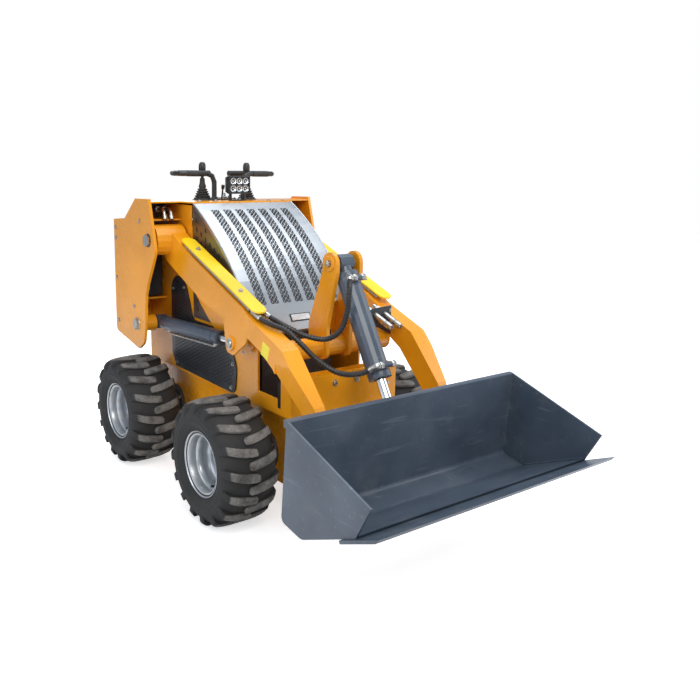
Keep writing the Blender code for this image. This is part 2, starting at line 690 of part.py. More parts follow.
def tilt_bracket():
    """Two ears clamped round the cross tube, with a web between them behind the cylinder."""
    outline = [(-0.162, 0.578, 0.03), (-0.058, 0.578, 0.03), (-0.050, 0.700, 0.05),
               (TILT_PIN[0] + TILT_EAR_R, TILT_PIN[1] - 0.03),
               (TILT_PIN[0] + TILT_EAR_R, TILT_PIN[1] + TILT_EAR_R, TILT_EAR_R - 0.001),
               (TILT_PIN[0] - TILT_EAR_R, TILT_PIN[1] + TILT_EAR_R, TILT_EAR_R - 0.001),
               (TILT_PIN[0] - TILT_EAR_R, TILT_PIN[1] - 0.03), (-0.160, 0.700, 0.05)]
    holes = [(*CROSS_TUBE, CROSS_TUBE_R + TOUCH), (*TILT_PIN, TILT_PIN_R + PIN_GAP)]
    ears = [prism(outline, "X", *across(side, TILT_EAR_IN, TILT_EAR_IN + TILT_EAR), holes)
            for _, side in SIDES]
    web = prism([(-0.070, 0.668), (-0.060, 0.668), (-0.078, 0.780), (-0.088, 0.780)], "X",
                -TILT_EAR_IN - 0.005, TILT_EAR_IN + 0.005)
    return joined(ears[0], ears[1], web)


def tilt_pin():
    half = TILT_EAR_IN + TILT_EAR + 0.010
    return rod(at_x(-half, TILT_PIN), at_x(half, TILT_PIN), TILT_PIN_R)


COUPLERS = (("inner_coupler", 0.180), ("outer_coupler", 0.225))   # name, x
COUPLER_Y = -0.150


def coupler_line(x):
    """Axis of a hydraulic coupler beside the left arm, parallel to the arm's top."""
    slope = 0.36
    return ((x, -0.085, 0.742), (x, -0.240, 0.742 - 0.155 * slope))


def coupler_bracket():
    """Plate on the inside of the left arm that holds the auxiliary hydraulic couplers."""
    outline = [(0.155, 0.690, 0.01), (ARM_IN - TOUCH, 0.640), (ARM_IN - TOUCH, 0.750),
               (0.155, 0.745, 0.01)]
    plate = prism(outline, "Y", COUPLER_Y - 0.003, COUPLER_Y + 0.003)
    holes = [rod(*coupler_line(x), COUPLER_R + TOUCH) for _, x in COUPLERS]
    return cut(plate, *holes)


HOSES = (   # name, points of its route from under the right arm's guard to the tilt cylinder
    ("upper_tilt_hose", ((-0.268, -0.047, 0.7680), (-0.262, -0.085, 0.7530), (-0.225, -0.145, 0.7200),
                         (-0.170, -0.190, 0.6880), (-0.115, -0.230, 0.6780), (-0.078, -0.262, 0.7100),
                         (-0.066, -0.282, 0.7800), (-0.068, -0.294, 0.8450), (-0.055, -0.280, 0.8850))),
    ("lower_tilt_hose", ((-0.302, -0.047, 0.7680), (-0.298, -0.090, 0.7490), (-0.278, -0.140, 0.7310),
                         (-0.245, -0.180, 0.7130), (-0.215, -0.220, 0.6720), (-0.175, -0.262, 0.6180),
                         (-0.125, -0.315, 0.5780), (-0.082, -0.375, 0.5820))),
)
PORTS = ((0.080, 0.022, 0), (0.400, 0.030, 1))     # along the barrel, half length, its hose
PORT_OUT = 0.054


def port_place(reach):
    """Centre line of a port's cross fitting, (y, z), in front of the tilt barrel."""
    axis = (Vector(TILT_ROD_EYE) - Vector(TILT_PIN)).normalized()
    return Vector(TILT_PIN) + axis * reach + Vector((axis.y, -axis.x)) * PORT_OUT


def hose(name, route, port):
    reach, half, _ = port
    y, z = port_place(reach)
    end = (-half - TOUCH, y, z)
    before = (-half - 0.016, y, z)
    return tube(smooth_path([*route, before, end], 0.022), HOSE_R)


def arms(lift):
    for hand, side in SIDES:
        part(arm(side), f"{hand}_arm", "orange_paint", lift)
        part(hose_guard(side), f"{hand}_hose_guard", "yellow_paint", lift)
    part(cross_tube(), "cross_tube", "orange_paint", lift)
    part(tilt_bracket(), "tilt_bracket", "orange_paint", lift)
    part(tilt_pin(), "tilt_pin", "steel", lift)
    part(coupler_bracket(), "coupler_bracket", "black_sheet", lift)
    for name, x in COUPLERS:
        part(rod(*coupler_line(x), COUPLER_R), name, "steel", lift)
    for port in PORTS:
        name, route = HOSES[port[2]]
        part(hose(name, route, port), name, "rubber", lift)


# ---------------------------------------------------------------- cylinders

def barrel(x, start, end, reach, bore_r, eye_r, eye_half, pin_r):
    """Cylinder tube with a bored eye at start and a gland at reach from it."""
    eye = rod(at_x(x - eye_half, start), at_x(x + eye_half, start), eye_r)
    tube_start = at_x(x, along(start, end, eye_r * 0.6))
    neck_end = at_x(x, along(start, end, eye_r + 0.020))
    body_end = at_x(x, along(start, end, reach))
    gland = rod(at_x(x, along(start, end, reach - 0.030)), at_x(x, along(start, end, reach + 0.006)),
                bore_r * 0.97)
    neck = rod(tube_start, neck_end, min(eye_half, bore_r) * 0.85)
    tube_body = rod(at_x(x, along(start, end, eye_r + 0.012)), body_end, bore_r)
    bore = rod(at_x(x - eye_half - 0.01, start), at_x(x + eye_half + 0.01, start), pin_r + PIN_GAP)
    return joined(eye, neck, tube_body, gland), bore


def piston_rod(x, start, end, inside, rod_r, eye_r, eye_half, pin_r):
    """Rod that runs into the barrel, with an eye at end."""
    first = at_x(x, along(start, end, inside))
    last = at_x(x, along(end, start, eye_r * 0.6))
    shaft = rod(first, last, rod_r)
    eye = rod(at_x(x - eye_half, end), at_x(x + eye_half, end), eye_r)
    hole = rod(at_x(x - eye_half - 0.01, end), at_x(x + eye_half + 0.01, end), pin_r)
    return cut(joined(shaft, eye), hole)


def cylinder(name, x, start, end, reach, retract, bore_r, rod_r, eye, rod_eye, pin_r, swing, slide,
             ports=()):
    """A barrel and its rod, which can still go in by retract; eye and rod_eye are (radius, half width)."""
    solid, bore = barrel(x, start, end, reach, bore_r, *eye, pin_r)
    blind = eye[0] + 0.022
    inside = blind + retract + 0.008
    bore_depth = rod(at_x(x, along(start, end, blind)), at_x(x, along(start, end, reach + 0.02)),
                     rod_r + 0.0006)
    part(cut(joined(solid, *ports), bore, bore_depth), f"{name}_barrel", "slate_paint", swing)
    part(piston_rod(x, start, end, inside, rod_r, *rod_eye, pin_r), f"{name}_rod", "chrome", slide)


def tilt_ports():
    """Stubs on the front of the tilt barrel with cross fittings for the hoses."""
    pieces = []
    axis = (Vector(TILT_ROD_EYE) - Vector(TILT_PIN)).normalized()
    for reach, half, _ in PORTS:
        place = port_place(reach)
        root = Vector(TILT_PIN) + axis * reach
        pieces.append(rod(at_x(0.0, root), at_x(0.0, place), 0.009))
        pieces.append(rod(at_x(-half, place), at_x(half, place), 0.010))
    return pieces


def cylinders(lift):
    for hand, side in SIDES:
        x = side * LIFT_X
        swing = pivot(f"{hand}_lift_cylinder_axis", at_x(x, CYLINDER_PIN))
        cylinder(f"{hand}_lift_cylinder", x, CYLINDER_PIN, ROD_PIN, LIFT_BARREL_END, LIFT_RETRACT, LIFT_BORE_R,
                 LIFT_ROD_R, (LIFT_EYE_R, LIFT_EYE_HALF + 0.008), (0.024, LIFT_EYE_HALF),
                 CYLINDER_PIN_R, swing, swing)
    swing = pivot("tilt_cylinder_axis", at_x(0.0, TILT_PIN), lift)
    cylinder("tilt_cylinder", 0.0, TILT_PIN, TILT_ROD_EYE, TILT_BARREL_END, TILT_RETRACT, TILT_BORE_R, TILT_ROD_R,
             (TILT_EYE_R, TILT_EYE_HALF), (TILT_ROD_EYE_R, TILT_ROD_EYE_HALF), TILT_PIN_R, swing, swing,
             tilt_ports())


# ---------------------------------------------------------------- bucket

def bucket_shell():
    """Folded sheet and side plates, open to the front, with a stiff lip along the back."""
    front = Vector(BUCKET_FLOOR_END) - Vector(BUCKET_HEEL)
    floor = front.normalized()
    up = Vector((-floor.y, floor.x)) * -1
    back = (Vector(BUCKET_TOP) - Vector(BUCKET_BACK)).normalized()
    inward = Vector((-back.y, back.x))
    outside = [(*BUCKET_TOP,), (*BUCKET_BACK, 0.02), (*BUCKET_HEEL, 0.04), (*BUCKET_FLOOR_END,),
               (*BUCKET_CORNER,)]
    top_in = Vector(BUCKET_TOP) + inward * BUCKET_SHEET + back * 0.1
    corner_in = (-0.5285, 0.2325)
    heel_in = Vector(BUCKET_HEEL) + up * BUCKET_SHEET
    mouth = Vector(BUCKET_HEEL) + floor * 0.45 + up * BUCKET_SHEET
    inside = [tuple(top_in), (*corner_in, 0.015), (*heel_in, 0.033), tuple(mouth), (mouth.x, top_in.y)]
    shell = prism(outside, "X", -BUCKET_HALF, BUCKET_HALF)
    space = prism(inside, "X", -BUCKET_HALF + BUCKET_SHEET, BUCKET_HALF - BUCKET_SHEET)
    lip_low = Vector(BUCKET_TOP) - back * 0.022
    lip = prism([tuple(lip_low + inward * 0.003), tuple(lip_low - inward * 0.014),
                 tuple(Vector(BUCKET_TOP) - inward * 0.014), tuple(Vector(BUCKET_TOP) + inward * 0.003)],
                "X", -BUCKET_HALF, BUCKET_HALF)
    return joined(cut(shell, space), lip)


def cutting_edge():
    """Plate bolted under the front of the bucket floor, a little wider than the bucket."""
    heel, end = Vector(BUCKET_HEEL), Vector(BUCKET_FLOOR_END)
    floor = (end - heel).normalized()
    up = Vector((floor.y, -floor.x))
    if up.y < 0:
        up = -up
    top = end - up * TOUCH
    reach = (EDGE_TIP_Y - top.x) / floor.x
    outline = [tuple(top - floor * 0.060), tuple(top - floor * 0.060 - up * EDGE_PLATE),
               tuple(top + floor * (reach - 0.020) - up * EDGE_PLATE), tuple(top + floor * reach)]
    return prism(outline, "X", -EDGE_HALF, EDGE_HALF)


def bucket_mount():
    """Back plate with lugs and pins for the arms and lugs for the tilt cylinder."""
    top, low = Vector(BUCKET_TOP), Vector(BUCKET_BACK)
    lean = (top.x - low.x) / (top.y - low.y)

    def back_y(z):
        return low.x + lean * (z - low.y) + TOUCH

    plate = prism([(back_y(MOUNT_LOW_Z), MOUNT_LOW_Z), (back_y(MOUNT_LOW_Z) + MOUNT_PLATE, MOUNT_LOW_Z),
                   (back_y(MOUNT_HIGH_Z) + MOUNT_PLATE, MOUNT_HIGH_Z), (back_y(MOUNT_HIGH_Z), MOUNT_HIGH_Z)],
                  "X", -MOUNT_HALF, MOUNT_HALF)
    pieces = []
    for _, side in SIDES:
        for place, near in (
                (BUCKET_PIN, ARM_IN - RUNNING_GAP - LUG),
                (BUCKET_PIN, ARM_IN + ARM_END_PLATE + RUNNING_GAP),
                (TILT_ROD_EYE, TILT_ROD_EYE_HALF + RUNNING_GAP)):
            z = place[1]
            root = 0.045
            end = place[0] + 0.028
            lug = [(back_y(z - root) + 0.005, z - root), (place[0], z - 0.0295, 0.012), (end, z - 0.028, 0.026),
                   (end, z + 0.028, 0.026), (place[0], z + 0.0295, 0.012), (back_y(z + root) + 0.005, z + root)]
            pieces.append(prism(lug, "X", *across(side, near, near + LUG)))
    heads = [rod(at_x(side * (TILT_ROD_EYE_HALF + RUNNING_GAP + LUG / 2), TILT_ROD_EYE),
                 at_x(side * (TILT_ROD_EYE_HALF + RUNNING_GAP + LUG + 0.010), TILT_ROD_EYE), 0.020)
             for _, side in SIDES]
    pins = [rod(at_x(side * (ARM_IN - RUNNING_GAP - LUG - 0.010), BUCKET_PIN),
                at_x(side * (ARM_IN + ARM_END_PLATE + RUNNING_GAP + LUG + 0.010), BUCKET_PIN), BUCKET_PIN_R)
            for _, side in SIDES]
    return joined(plate, *pieces, *heads, *pins)


def bucket(lift):
    tilt = pivot("bucket_axis", at_x(0.0, BUCKET_PIN), lift)
    part(bucket_shell(), "bucket", "slate_paint", tilt)
    part(cutting_edge(), "cutting_edge", "slate_paint", tilt)
    part(bucket_mount(), "bucket_mount", "slate_paint", tilt)


def main():
    clear_scene()
    lift = pivot("lift_axis", at_x(0.0, PIVOT))
    wheels()
    body()
    arms(lift)
    cylinders(lift)
    bucket(lift)


main()
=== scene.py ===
"""Looks of a compact skid steer loader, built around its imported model. Metres, +Z up."""

import math

import bmesh
import bpy
from bpy.props import FloatProperty, FloatVectorProperty, IntProperty, PointerProperty
from mathutils import Euler, Matrix, Vector


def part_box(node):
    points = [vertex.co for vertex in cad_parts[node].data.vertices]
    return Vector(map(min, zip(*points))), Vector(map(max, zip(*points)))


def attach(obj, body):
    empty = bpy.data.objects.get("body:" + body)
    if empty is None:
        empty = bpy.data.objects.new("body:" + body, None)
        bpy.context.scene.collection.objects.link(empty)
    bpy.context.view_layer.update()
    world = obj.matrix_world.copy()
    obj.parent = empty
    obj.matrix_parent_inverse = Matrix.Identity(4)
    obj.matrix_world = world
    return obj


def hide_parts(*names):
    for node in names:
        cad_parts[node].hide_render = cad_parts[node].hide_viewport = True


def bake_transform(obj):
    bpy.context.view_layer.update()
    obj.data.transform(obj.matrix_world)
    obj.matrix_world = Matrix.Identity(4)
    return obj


bl_info = {
    "name": "Skid Steer Loader Looks",
    "version": (1, 0, 0),
    "blender": (4, 5, 0),
    "location": "View3D > Sidebar > Loader",
    "description": "Adds tread, fasteners, sheet perforations, hoses, controls and materials to a loader",
    "category": "Object",
}

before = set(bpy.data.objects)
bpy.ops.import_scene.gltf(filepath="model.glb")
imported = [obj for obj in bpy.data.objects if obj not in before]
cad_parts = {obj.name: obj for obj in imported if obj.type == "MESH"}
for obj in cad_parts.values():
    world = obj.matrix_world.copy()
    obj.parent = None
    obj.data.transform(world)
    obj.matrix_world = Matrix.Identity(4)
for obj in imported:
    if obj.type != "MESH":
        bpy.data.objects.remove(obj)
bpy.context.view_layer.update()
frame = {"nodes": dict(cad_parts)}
NODES = frame["nodes"]
SIDES = (("right", -1), ("left", 1))
TYRE_LOW, TYRE_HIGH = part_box("front_right_tyre")


# ---------------------------------------------------------------- what a user can change

def length(name, text, value, low=0.0, high=10.0):
    return FloatProperty(name=name, description=text, default=value, min=low, max=high, unit="LENGTH",
                         precision=4)


def colour(name, text, value):
    return FloatVectorProperty(name=name, description=text, default=value, size=3, min=0.0, max=1.0,
                               subtype="COLOR")


class LoaderPaints(bpy.types.PropertyGroup):
    frame: colour("Frame", "Gloss powder paint on the frame, towers and arms", (0.80, 0.310, 0.005))
    guard: colour("Guards", "Brighter paint on the hose guards", (0.95, 0.62, 0.005))
    slate: colour("Slate", "Paint on the bucket and cylinders", (0.045, 0.062, 0.088))
    dust: FloatProperty(name="Dust", description="How much dust lies on tyres and bucket", default=0.5,
                        min=0.0, max=1.0, subtype="FACTOR")


class LoaderTyres(bpy.types.PropertyGroup):
    radius: length("Radius", "From the axle to the top of a lug", (TYRE_HIGH[2] - TYRE_LOW[2]) / 2)
    half_width: length("Half width", "From the tyre's middle to its side", (TYRE_HIGH[0] - TYRE_LOW[0]) / 2)
    lug_height: length("Lug height", "From the carcass to the top of a lug", 0.0165)
    lug_width: length("Lug width", "Across a lug's top", 0.031)
    lug_count: IntProperty(name="Lugs", description="Lugs on each side of a tyre", default=16, min=4, max=40)


class LoaderHood(bpy.types.PropertyGroup):
    stripes: IntProperty(name="Stripes", description="Stripes of holes across the hood", default=7, min=1,
                         max=12)
    pitch: length("Stripe pitch", "From one stripe to the next", 0.0560)
    cell: length("Cell", "Side of one square of four holes", 0.0185)
    rows: IntProperty(name="Rows", description="Squares along a stripe", default=27, min=1, max=60)


class LoaderHoses(bpy.types.PropertyGroup):
    radius: length("Radius", "Of the rubber hose", 0.0085)
    guard_radius: length("Guard radius", "Of the spiral guard's outside", 0.0102)
    guard_pitch: length("Guard pitch", "From turn to turn of the spiral guard", 0.0105)


class LoaderFasteners(bpy.types.PropertyGroup):
    screw: length("Grille screw", "Across the head of a side grille's screw", 0.0105)
    panel: length("Panel bolt", "Across the head of a guard's or rear panel's bolt", 0.0125)
    plate: length("Plate bolt", "Across the head of a front plate's bolt", 0.0145)
    wheel: length("Wheel bolt", "Across the head of a wheel bolt", 0.0155)
    pin: length("Pin head", "Across the head of the tilt pin", 0.021)


# ---------------------------------------------------------------- shader maths

class Value:
    """A shader socket that Python's operators work on."""

    def __init__(self, surface, socket):
        self.surface = surface
        self.socket = socket

    def maths(self, operation, *others):
        values = dict(enumerate([self, *others]))
        return self.surface.node("ShaderNodeMath", {"operation": operation}, values)

    def __add__(self, other):
        return self.maths("ADD", other)

    def __sub__(self, other):
        return self.maths("SUBTRACT", other)

    def __mul__(self, other):
        return self.maths("MULTIPLY", other)

    def __rsub__(self, other):
        node = self.surface.node("ShaderNodeMath", {"operation": "SUBTRACT"}, {0: other, 1: self})
        return node

    __radd__ = __add__
    __rmul__ = __mul__

    def step(self, low, high):
        """0 below low, 1 above high, smooth between them."""
        return self.surface.node("ShaderNodeMapRange", {"interpolation_type": "SMOOTHSTEP"},
                                 {0: self, 1: low, 2: high})


class Surface:
    """A material with one Principled shader."""

    def __init__(self, name, base, roughness, metallic=0.0, coat=0.0):
        self.material = bpy.data.materials.new(name)
        self.material.use_nodes = True
        self.tree = self.material.node_tree
        self.shader = self.tree.nodes["Principled BSDF"]
        self.put(self.shader.inputs["Base Color"], (*base, 1.0))
        self.shader.inputs["Roughness"].default_value = roughness
        self.shader.inputs["Metallic"].default_value = metallic
        self.shader.inputs["Coat Weight"].default_value = coat
        self.shader.inputs["Coat Roughness"].default_value = 0.12

    def put(self, socket, value):
        if isinstance(value, Value):
            self.tree.links.new(value.socket, socket)
        else:
            socket.default_value = value

    def node(self, kind, settings, sockets, output=0):
        made = self.tree.nodes.new(kind)
        for key, value in settings.items():
            setattr(made, key, value)
        for key, value in sockets.items():
            self.put(made.inputs[key], value)
        return Value(self, made.outputs[output])

    def place(self, stretch=(1.0, 1.0, 1.0), centre=(0.0, 0.0, 0.0)):
        where = self.node("ShaderNodeTexCoord", {}, {}, "Object")
        moved = self.node("ShaderNodeVectorMath", {"operation": "SUBTRACT"}, {0: where, 1: centre})
        return self.node("ShaderNodeMapping", {"vector_type": "POINT"},
                         {"Vector": moved, "Scale": stretch})

    def noise(self, scale, detail=3.0, stretch=(1.0, 1.0, 1.0), rough=0.55):
        return self.node("ShaderNodeTexNoise", {},
                         {"Vector": self.place(stretch), "Scale": scale, "Detail": detail,
                          "Roughness": rough})

    def axis(self, letter, centre=(0.0, 0.0, 0.0)):
        place = self.node("ShaderNodeSeparateXYZ", {}, {0: self.place(centre=centre)}, letter)
        return place

    def blend(self, first, second, factor):
        made = self.tree.nodes.new("ShaderNodeMix")
        made.data_type = "RGBA"
        self.put(made.inputs["Factor"], factor)
        colours = [socket for socket in made.inputs if socket.type == "RGBA"]
        for socket, value in zip(colours, (first, second)):
            self.put(socket, value if isinstance(value, Value) else (*value, 1.0))
        shown = [socket for socket in made.outputs if socket.type == "RGBA"]
        return Value(self, shown[0])

    def set(self, name, value):
        self.put(self.shader.inputs[name], value)

    def bump(self, height, strength, distance):
        self.set("Normal", self.node("ShaderNodeBump", {}, {"Strength": strength, "Distance": distance,
                                                            "Height": height}, "Normal"))


def powder_paint(name, base, dirt=0.25, low=0.25):
    """Gloss powder coat: fine orange peel, slow change of tone, some dust."""
    paint = Surface(name, base, 0.33, coat=0.25)
    slow = paint.noise(3.1, 2.0)
    cloud = paint.noise(14.0, 4.0).step(0.52, 0.78)
    deep = tuple(value * 0.86 for value in base)
    pale = tuple(min(1.0, value * 1.05 + 0.006) for value in base)
    tone = paint.blend(deep, pale, slow.step(0.3, 0.7))
    dusty = paint.blend(tone, (0.42, 0.30, 0.16), cloud * (0.10 * dirt))
    ground = 1.0 - paint.axis("Z").step(0.14, 0.42)
    mud = paint.noise(38.0, 5.0).step(0.46, 0.66) * ground
    paint.set("Base Color", paint.blend(dusty, (0.26, 0.20, 0.13), mud * (0.6 * dirt)))
    paint.set("Roughness", cloud * 0.14 + mud * 0.2 + low)
    paint.bump(paint.noise(420.0, 2.0), 0.10, 0.0006)
    return paint.material


def slate_paint(name, base, dust):
    """Satin paint with fine scratches and a film of dust."""
    paint = Surface(name, base, 0.42, coat=0.10)
    slow = paint.noise(4.0, 3.0).step(0.3, 0.75)
    pale = tuple(value * 1.35 + 0.012 for value in base)
    tone = paint.blend(base, pale, slow)
    long_marks = paint.noise(60.0, 4.0, stretch=(0.08, 1.0, 1.0)).step(0.60, 0.72)
    cross_marks = paint.noise(70.0, 4.0, stretch=(1.0, 0.07, 1.0)).step(0.63, 0.73)
    marks = (long_marks + cross_marks) * 0.16
    scratched = paint.blend(tone, (0.30, 0.33, 0.36), marks)
    film = paint.noise(9.0, 5.0).step(0.48, 0.80) * (0.20 * dust)
    paint.set("Base Color", paint.blend(scratched, (0.34, 0.33, 0.31), film))
    paint.set("Roughness", film + marks * 0.5 + 0.34)
    paint.bump(paint.noise(300.0, 2.0), 0.10, 0.0006)
    return paint.material


def brushed_steel(name, base, roughness=0.27, along=(0.04, 1.0, 1.0), depth=0.08):
    """Sheet with fine brushing along one axis and soft stains."""
    sheet = Surface(name, base, roughness, metallic=1.0)
    lines = sheet.noise(420.0, 3.0, stretch=along)
    stain = sheet.noise(6.0, 4.0).step(0.35, 0.75)
    dark = tuple(value * 0.80 for value in base)
    toned = sheet.blend(base, dark, stain * 0.55)
    sheet.set("Base Color", sheet.blend(toned, tuple(value * 0.9 for value in base), lines * 0.5))
    sheet.set("Roughness", lines * 0.14 + stain * 0.08 + (roughness - 0.08))
    sheet.bump(lines, depth, 0.0004)
    return sheet.material


def plated_steel(name, base=(0.56, 0.55, 0.52), roughness=0.30):
    steel = Surface(name, base, roughness, metallic=1.0)
    cloud = steel.noise(70.0, 4.0).step(0.35, 0.72)
    steel.set("Base Color", steel.blend(base, tuple(value * 0.62 for value in base), cloud * 0.7))
    steel.set("Roughness", cloud * 0.2 + (roughness - 0.06))
    steel.bump(steel.noise(260.0, 3.0), 0.12, 0.0004)
    return steel.material


def black_moulding(name, base=(0.012, 0.012, 0.013), roughness=0.42, grain=700.0):
    plastic = Surface(name, base, roughness)
    slow = plastic.noise(9.0, 3.0).step(0.35, 0.75)
    plastic.set("Base Color", plastic.blend(base, tuple(value * 1.9 + 0.006 for value in base), slow))
    fine = plastic.noise(grain, 2.0)
    plastic.set("Roughness", slow * 0.12 + (roughness - 0.04))
    plastic.bump(fine, 0.25, 0.0005)
    return plastic.material


def black_sheet(name, base=(0.018, 0.021, 0.026)):
    sheet = Surface(name, base, 0.38, coat=0.15)
    worn = sheet.noise(24.0, 5.0).step(0.55, 0.75)
    sheet.set("Base Color", sheet.blend(base, (0.075, 0.080, 0.088), worn * 0.6))
    sheet.set("Roughness", worn * 0.2 + 0.33)
    sheet.bump(sheet.noise(400.0, 2.0), 0.10, 0.0005)
    return sheet.material


def hard_chrome(name):
    chrome = Surface(name, (0.74, 0.75, 0.76), 0.08, metallic=1.0)
    lines = chrome.noise(300.0, 2.0, stretch=(1.0, 0.05, 1.0))
    chrome.set("Roughness", lines * 0.10 + 0.05)
    film = chrome.noise(12.0, 4.0).step(0.55, 0.8)
    chrome.set("Base Color", chrome.blend((0.74, 0.75, 0.76), (0.48, 0.47, 0.45), film * 0.5))
    return chrome.material


def casting(name, base=(0.045, 0.045, 0.047)):
    iron = Surface(name, base, 0.62, metallic=0.15)
    grit = iron.noise(160.0, 4.0)
    dirt = iron.noise(16.0, 5.0).step(0.45, 0.70)
    iron.set("Base Color", iron.blend(base, (0.17, 0.145, 0.115), dirt * 0.5))
    iron.set("Roughness", dirt * 0.2 + 0.5)
    iron.bump(grit, 0.45, 0.0012)
    return iron.material


def tyre_rubber(name, centre, radius, dust):
    """Black rubber; the lugs' faces and the tread carry pale dust."""
    rubber = Surface(name, (0.010, 0.010, 0.011), 0.78)
    across = rubber.axis("Y", centre)
    up = rubber.axis("Z", centre)
    out = (across * across + up * up).maths("SQRT")
    top = out.step(radius - 0.0125, radius - 0.0080)
    patch = rubber.noise(24.0, 5.0).step(0.30, 0.62)
    fine = rubber.noise(150.0, 4.0).step(0.32, 0.66)
    face = top * (patch * 0.62 + 0.28) * (fine * 0.35 + 0.65)
    side = rubber.noise(11.0, 6.0).step(0.50, 0.80) * 0.16
    tone = rubber.blend((0.008, 0.008, 0.009), (0.020, 0.019, 0.018), rubber.noise(7.0, 4.0))
    dirty = rubber.blend(tone, (0.14, 0.125, 0.11), side * dust)
    rubber.set("Base Color", rubber.blend(dirty, (0.30, 0.285, 0.265), face * (1.35 * dust)))
    rubber.set("Roughness", face * 0.15 + 0.72)
    rubber.bump(rubber.noise(520.0, 3.0) + patch * 0.3, 0.22, 0.0007)
    return rubber.material


def wheel_paint(name, centre):
    """Silver paint on a pressed wheel, with painted shade and some dirt in the dish."""
    paint = Surface(name, (0.50, 0.52, 0.54), 0.32, metallic=0.75)
    across = paint.axis("Y", centre)
    up = paint.axis("Z", centre)
    out = (across * across + up * up).maths("SQRT")
    # mask of the recessed dish, for its painted shade and its extra dirt
    inner = 1.0 - out.step(0.060, 0.104)
    dirt = paint.noise(30.0, 5.0).step(0.42, 0.70)
    # painted shade: the dish turns a darker, bluer grey than the barrel
    tone = paint.blend((0.52, 0.54, 0.56), (0.33, 0.37, 0.42), inner * 0.8)
    paint.set("Base Color", paint.blend(tone, (0.14, 0.13, 0.12), dirt * (inner * 0.30 + 0.20)))
    paint.set("Roughness", dirt * 0.22 + 0.28)
    paint.bump(paint.noise(350.0, 2.0), 0.08, 0.0005)
    return paint.material


def plain_paint(name, base, roughness=0.4, metallic=0.0, scale=60.0):
    paint = Surface(name, base, roughness, metallic=metallic)
    cloud = paint.noise(scale, 4.0).step(0.35, 0.75)
    paint.set("Base Color", paint.blend(base, tuple(value * 0.78 for value in base), cloud * 0.5))
    paint.set("Roughness", cloud * 0.12 + (roughness - 0.05))
    return paint.material


def lamp_lens(name):
    lens = Surface(name, (0.72, 0.78, 0.84), 0.10, metallic=0.25)
    lens.shader.inputs["Alpha"].default_value = 0.25
    cells = lens.node("ShaderNodeTexVoronoi", {"feature": "F1"}, {"Vector": lens.place(), "Scale": 150.0})
    lens.set("Base Color", lens.blend((0.80, 0.86, 0.90), (0.22, 0.26, 0.32), cells.step(0.2, 0.7)))
    lens.bump(cells, 0.6, 0.002)
    return lens.material


# ---------------------------------------------------------------- mesh helpers

def shape(name, mesh, finish=None, angle=35.0):
    """A finished piece whose place is in its mesh."""
    item = bpy.data.objects.new(name, mesh)
    bpy.context.scene.collection.objects.link(item)
    if finish:
        item.data.materials.clear()
        item.data.materials.append(finish)
    item.data.shade_smooth()
    item.data.set_sharp_from_angle(angle=math.radians(angle))
    return item


def mesh_of(build):
    mesh = bpy.data.meshes.new("shape")
    bmesh.ops.recalc_face_normals(build, faces=build.faces)
    build.to_mesh(mesh)
    build.free()
    return mesh


def solid(parts):
    """One mesh of several bmesh builders, each called with the shared bmesh."""
    build = bmesh.new()
    for part in parts:
        part(build)
    return mesh_of(build)


def block(low, high, bevel=0.0):
    def make(build):
        size = Vector(high) - Vector(low)
        middle = (Vector(high) + Vector(low)) / 2
        matrix = Matrix.Translation(middle) @ Matrix.Diagonal((*size, 1.0))
        made = bmesh.ops.create_cube(build, size=1.0, matrix=matrix)
        if bevel:
            edges = {edge for vert in made["verts"] for edge in vert.link_edges}
            bmesh.ops.bevel(build, geom=list(edges), offset=bevel, segments=2, affect="EDGES", profile=0.6)
    return make


def bar(start, end, radius, end_radius=None, segments=20, bevel=0.0):
    def make(build):
        a, b = Vector(start), Vector(end)
        turn = (b - a).to_track_quat("Z", "Y").to_matrix().to_4x4()
        matrix = Matrix.Translation((a + b) / 2) @ turn
        top = radius if end_radius is None else end_radius
        made = bmesh.ops.create_cone(build, cap_ends=True, segments=segments, radius1=radius, radius2=top,
                                     depth=(b - a).length, matrix=matrix)
        if bevel:
            rims = [face for vert in made["verts"] for face in vert.link_faces if len(face.verts) > 4]
            edges = {edge for face in rims for edge in face.edges}
            bmesh.ops.bevel(build, geom=list(edges), offset=bevel, segments=2, affect="EDGES", profile=0.6)
    return make


def lathe(profile, matrix, segments=48, closed=False):
    """(radius, height) profile turned about local Z and placed."""
    def make(build):
        rings = []
        for radius, height in profile:
            if radius < 1e-6:
                rings.append([build.verts.new(matrix @ Vector((0, 0, height)))])
                continue
            rings.append([build.verts.new(matrix @ Vector((radius * math.cos(2 * math.pi * i / segments),
                                                           radius * math.sin(2 * math.pi * i / segments),
                                                           height))) for i in range(segments)])
        pairs = list(zip(rings, rings[1:]))
        if closed:
            pairs.append((rings[-1], rings[0]))
        for one, two in pairs:
            for i in range(segments):
                j = (i + 1) % segments
                corners = [one[i % len(one)], one[j % len(one)], two[j % len(two)], two[i % len(two)]]
                unique = list(dict.fromkeys(corners))
                if len(unique) > 2:
                    build.faces.new(unique)
    return make


def smooth_path(points, step):
    """Points about step apart on a smooth curve through the given ones."""
    knots = [Vector(p) for p in points]
    knots = [2 * knots[0] - knots[1], *knots, 2 * knots[-1] - knots[-2]]
    path = []
    for i in range(1, len(knots) - 2):
        a, b, c, d = knots[i - 1:i + 3]
        pieces = max(1, round((c - b).length / step))
        for j in range(pieces):
            t = j / pieces
            path.append(0.5 * (2 * b + (c - a) * t + (2 * a - 5 * b + 4 * c - d) * t ** 2
                               + (3 * b - a - 3 * c + d) * t ** 3))
    path.append(knots[-2])
    return path


def frames_along(path):
    """A turned frame at each point, carried without twist."""
    places = []
    tangent = (path[1] - path[0]).normalized()
    side = tangent.orthogonal().normalized()
    for i, point in enumerate(path):
        ahead = path[min(i + 1, len(path) - 1)] - path[max(i - 1, 0)]
        new = ahead.normalized()
        side = (tangent.rotation_difference(new) @ side).normalized()
        tangent = new
        places.append((point, tangent, side, tangent.cross(side)))
    return places


